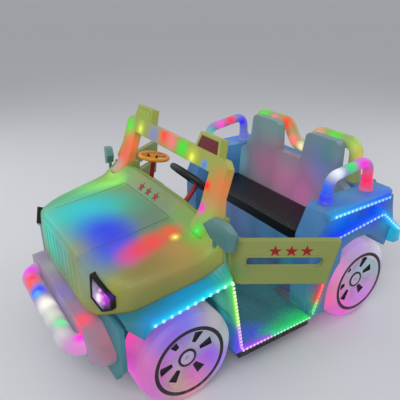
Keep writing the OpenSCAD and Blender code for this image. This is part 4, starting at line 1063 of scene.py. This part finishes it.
def piping(pad):
    """Welt round the top edge: a cord of 3.6 mm whose line is where level rays from over the pad's
    middle, 13 mm below its top, leave the skin, smoothed once by its neighbours."""
    skin = BVHTree.FromPolygons(coordinates(pad.data).tolist(), [list(p.vertices) for p in pad.data.polygons])
    middle, half = (PAD_LOW + PAD_HIGH) / 2, (PAD_HIGH - PAD_LOW) / 2
    aim = rounded_square(260, PAD_CORNER) * half[:2]
    z = PAD_HIGH[2] - 0.013
    path = []
    for ax, ay in aim.tolist():
        place = Vector((middle[0] + ax * 0.6, middle[1] + ay * 0.6, z))
        hit = skin.ray_cast(place, Vector((ax, ay, 0.0)).normalized(), 1.0)[0]
        path.append(hit[:] if hit else (middle[0] + ax, middle[1] + ay, z))
    path = np.array(path)
    path = path * 0.5 + (np.roll(path, 1, 0) + np.roll(path, -1, 0)) * 0.25
    return bead(path, 0.0018, 0.0018, (0.0, 0.0, 1.0), closed=True, turns=8)


add_piece("seat_piping", *piping(cushion), BLACK_VINYL, "car_body", "cushion_black")


# ---- floor, light and camera


def stage_floor():
    """A wide flat disc: p = R (cos u, sin u, 0)."""
    u = angles(64)
    ring = np.stack([60 * np.cos(u), 60 * np.sin(u), np.zeros(64)], -1)
    material, tree, shader, _ = start_material("pale studio floor")
    feed(tree, shader.inputs, {"Base Color": ink("d6d7da"), "Roughness": 0.85})
    add_piece("studio_floor", ring, [list(range(64))], material, None, None, smooth=False)


def soft_lamp(name, place, size, power):
    """A square area lamp at a place, aimed at the car's middle."""
    light = bpy.data.lights.new(name, "AREA")
    light.size, light.energy = size, power
    lamp = bpy.data.objects.new(name, light)
    bpy.context.scene.collection.objects.link(lamp)
    lamp.location = place
    lamp.rotation_mode = "QUATERNION"
    lamp.rotation_quaternion = (Vector(LAMP_AIM) - Vector(place)).to_track_quat("-Z", "Y")


def pale_surround():
    """Pale room: seen and mirrored at full strength, lighting the car with a part of it."""
    world = bpy.data.worlds.new("pale room")
    world.use_nodes = True
    tree = world.node_tree
    shade = next(n for n in tree.nodes if n.type == "BACKGROUND")
    shade.inputs["Color"].default_value = ink("dfe0e4")
    path = tree.nodes.new("ShaderNodeLightPath").outputs
    seen = sums(tree, "MAXIMUM", path["Is Camera Ray"], path["Is Glossy Ray"])
    seen = sums(tree, "MAXIMUM", seen, path["Is Transmission Ray"])
    tree.links.new(ramp(tree, seen, 0.0, 1.0, 0.62, 1.0, soft=False), shade.inputs["Strength"])
    bpy.context.scene.world = world


def photo_camera():
    """Camera from its azimuth a, elevation e and roll: back = (sin a cos e, -cos a cos e, sin e)."""
    a, e, roll = (math.radians(d) for d in CAMERA_TURN)
    back = np.array([math.sin(a) * math.cos(e), -math.cos(a) * math.cos(e), math.sin(e)])
    right = np.cross([0, 0, 1.0], back)
    right /= np.linalg.norm(right)
    up = np.cross(back, right)
    turned = math.cos(roll) * right + math.sin(roll) * up
    raised = -math.sin(roll) * right + math.cos(roll) * up
    data = bpy.data.cameras.new("photo view")
    data.sensor_width, data.lens = 36.0, CAMERA_LENS
    data.clip_end = 200
    camera = bpy.data.objects.new("photo view", data)
    bpy.context.scene.collection.objects.link(camera)
    rows = np.stack([turned, raised, back, CAMERA_PLACE], -1)
    camera.matrix_world = Matrix([*rows.tolist(), [0, 0, 0, 1]])
    bpy.context.scene.camera = camera


stage_floor()
soft_lamp("key lamp", (2.6, -2.6, 3.4), size=2.6, power=95)
soft_lamp("fill lamp", (-2.8, -2.0, 2.6), size=2.8, power=40)
soft_lamp("back lamp", (0.5, 3.4, 3.0), size=2.6, power=40)
pale_surround()
photo_camera()
bpy.context.scene.view_settings.view_transform = "Standard"
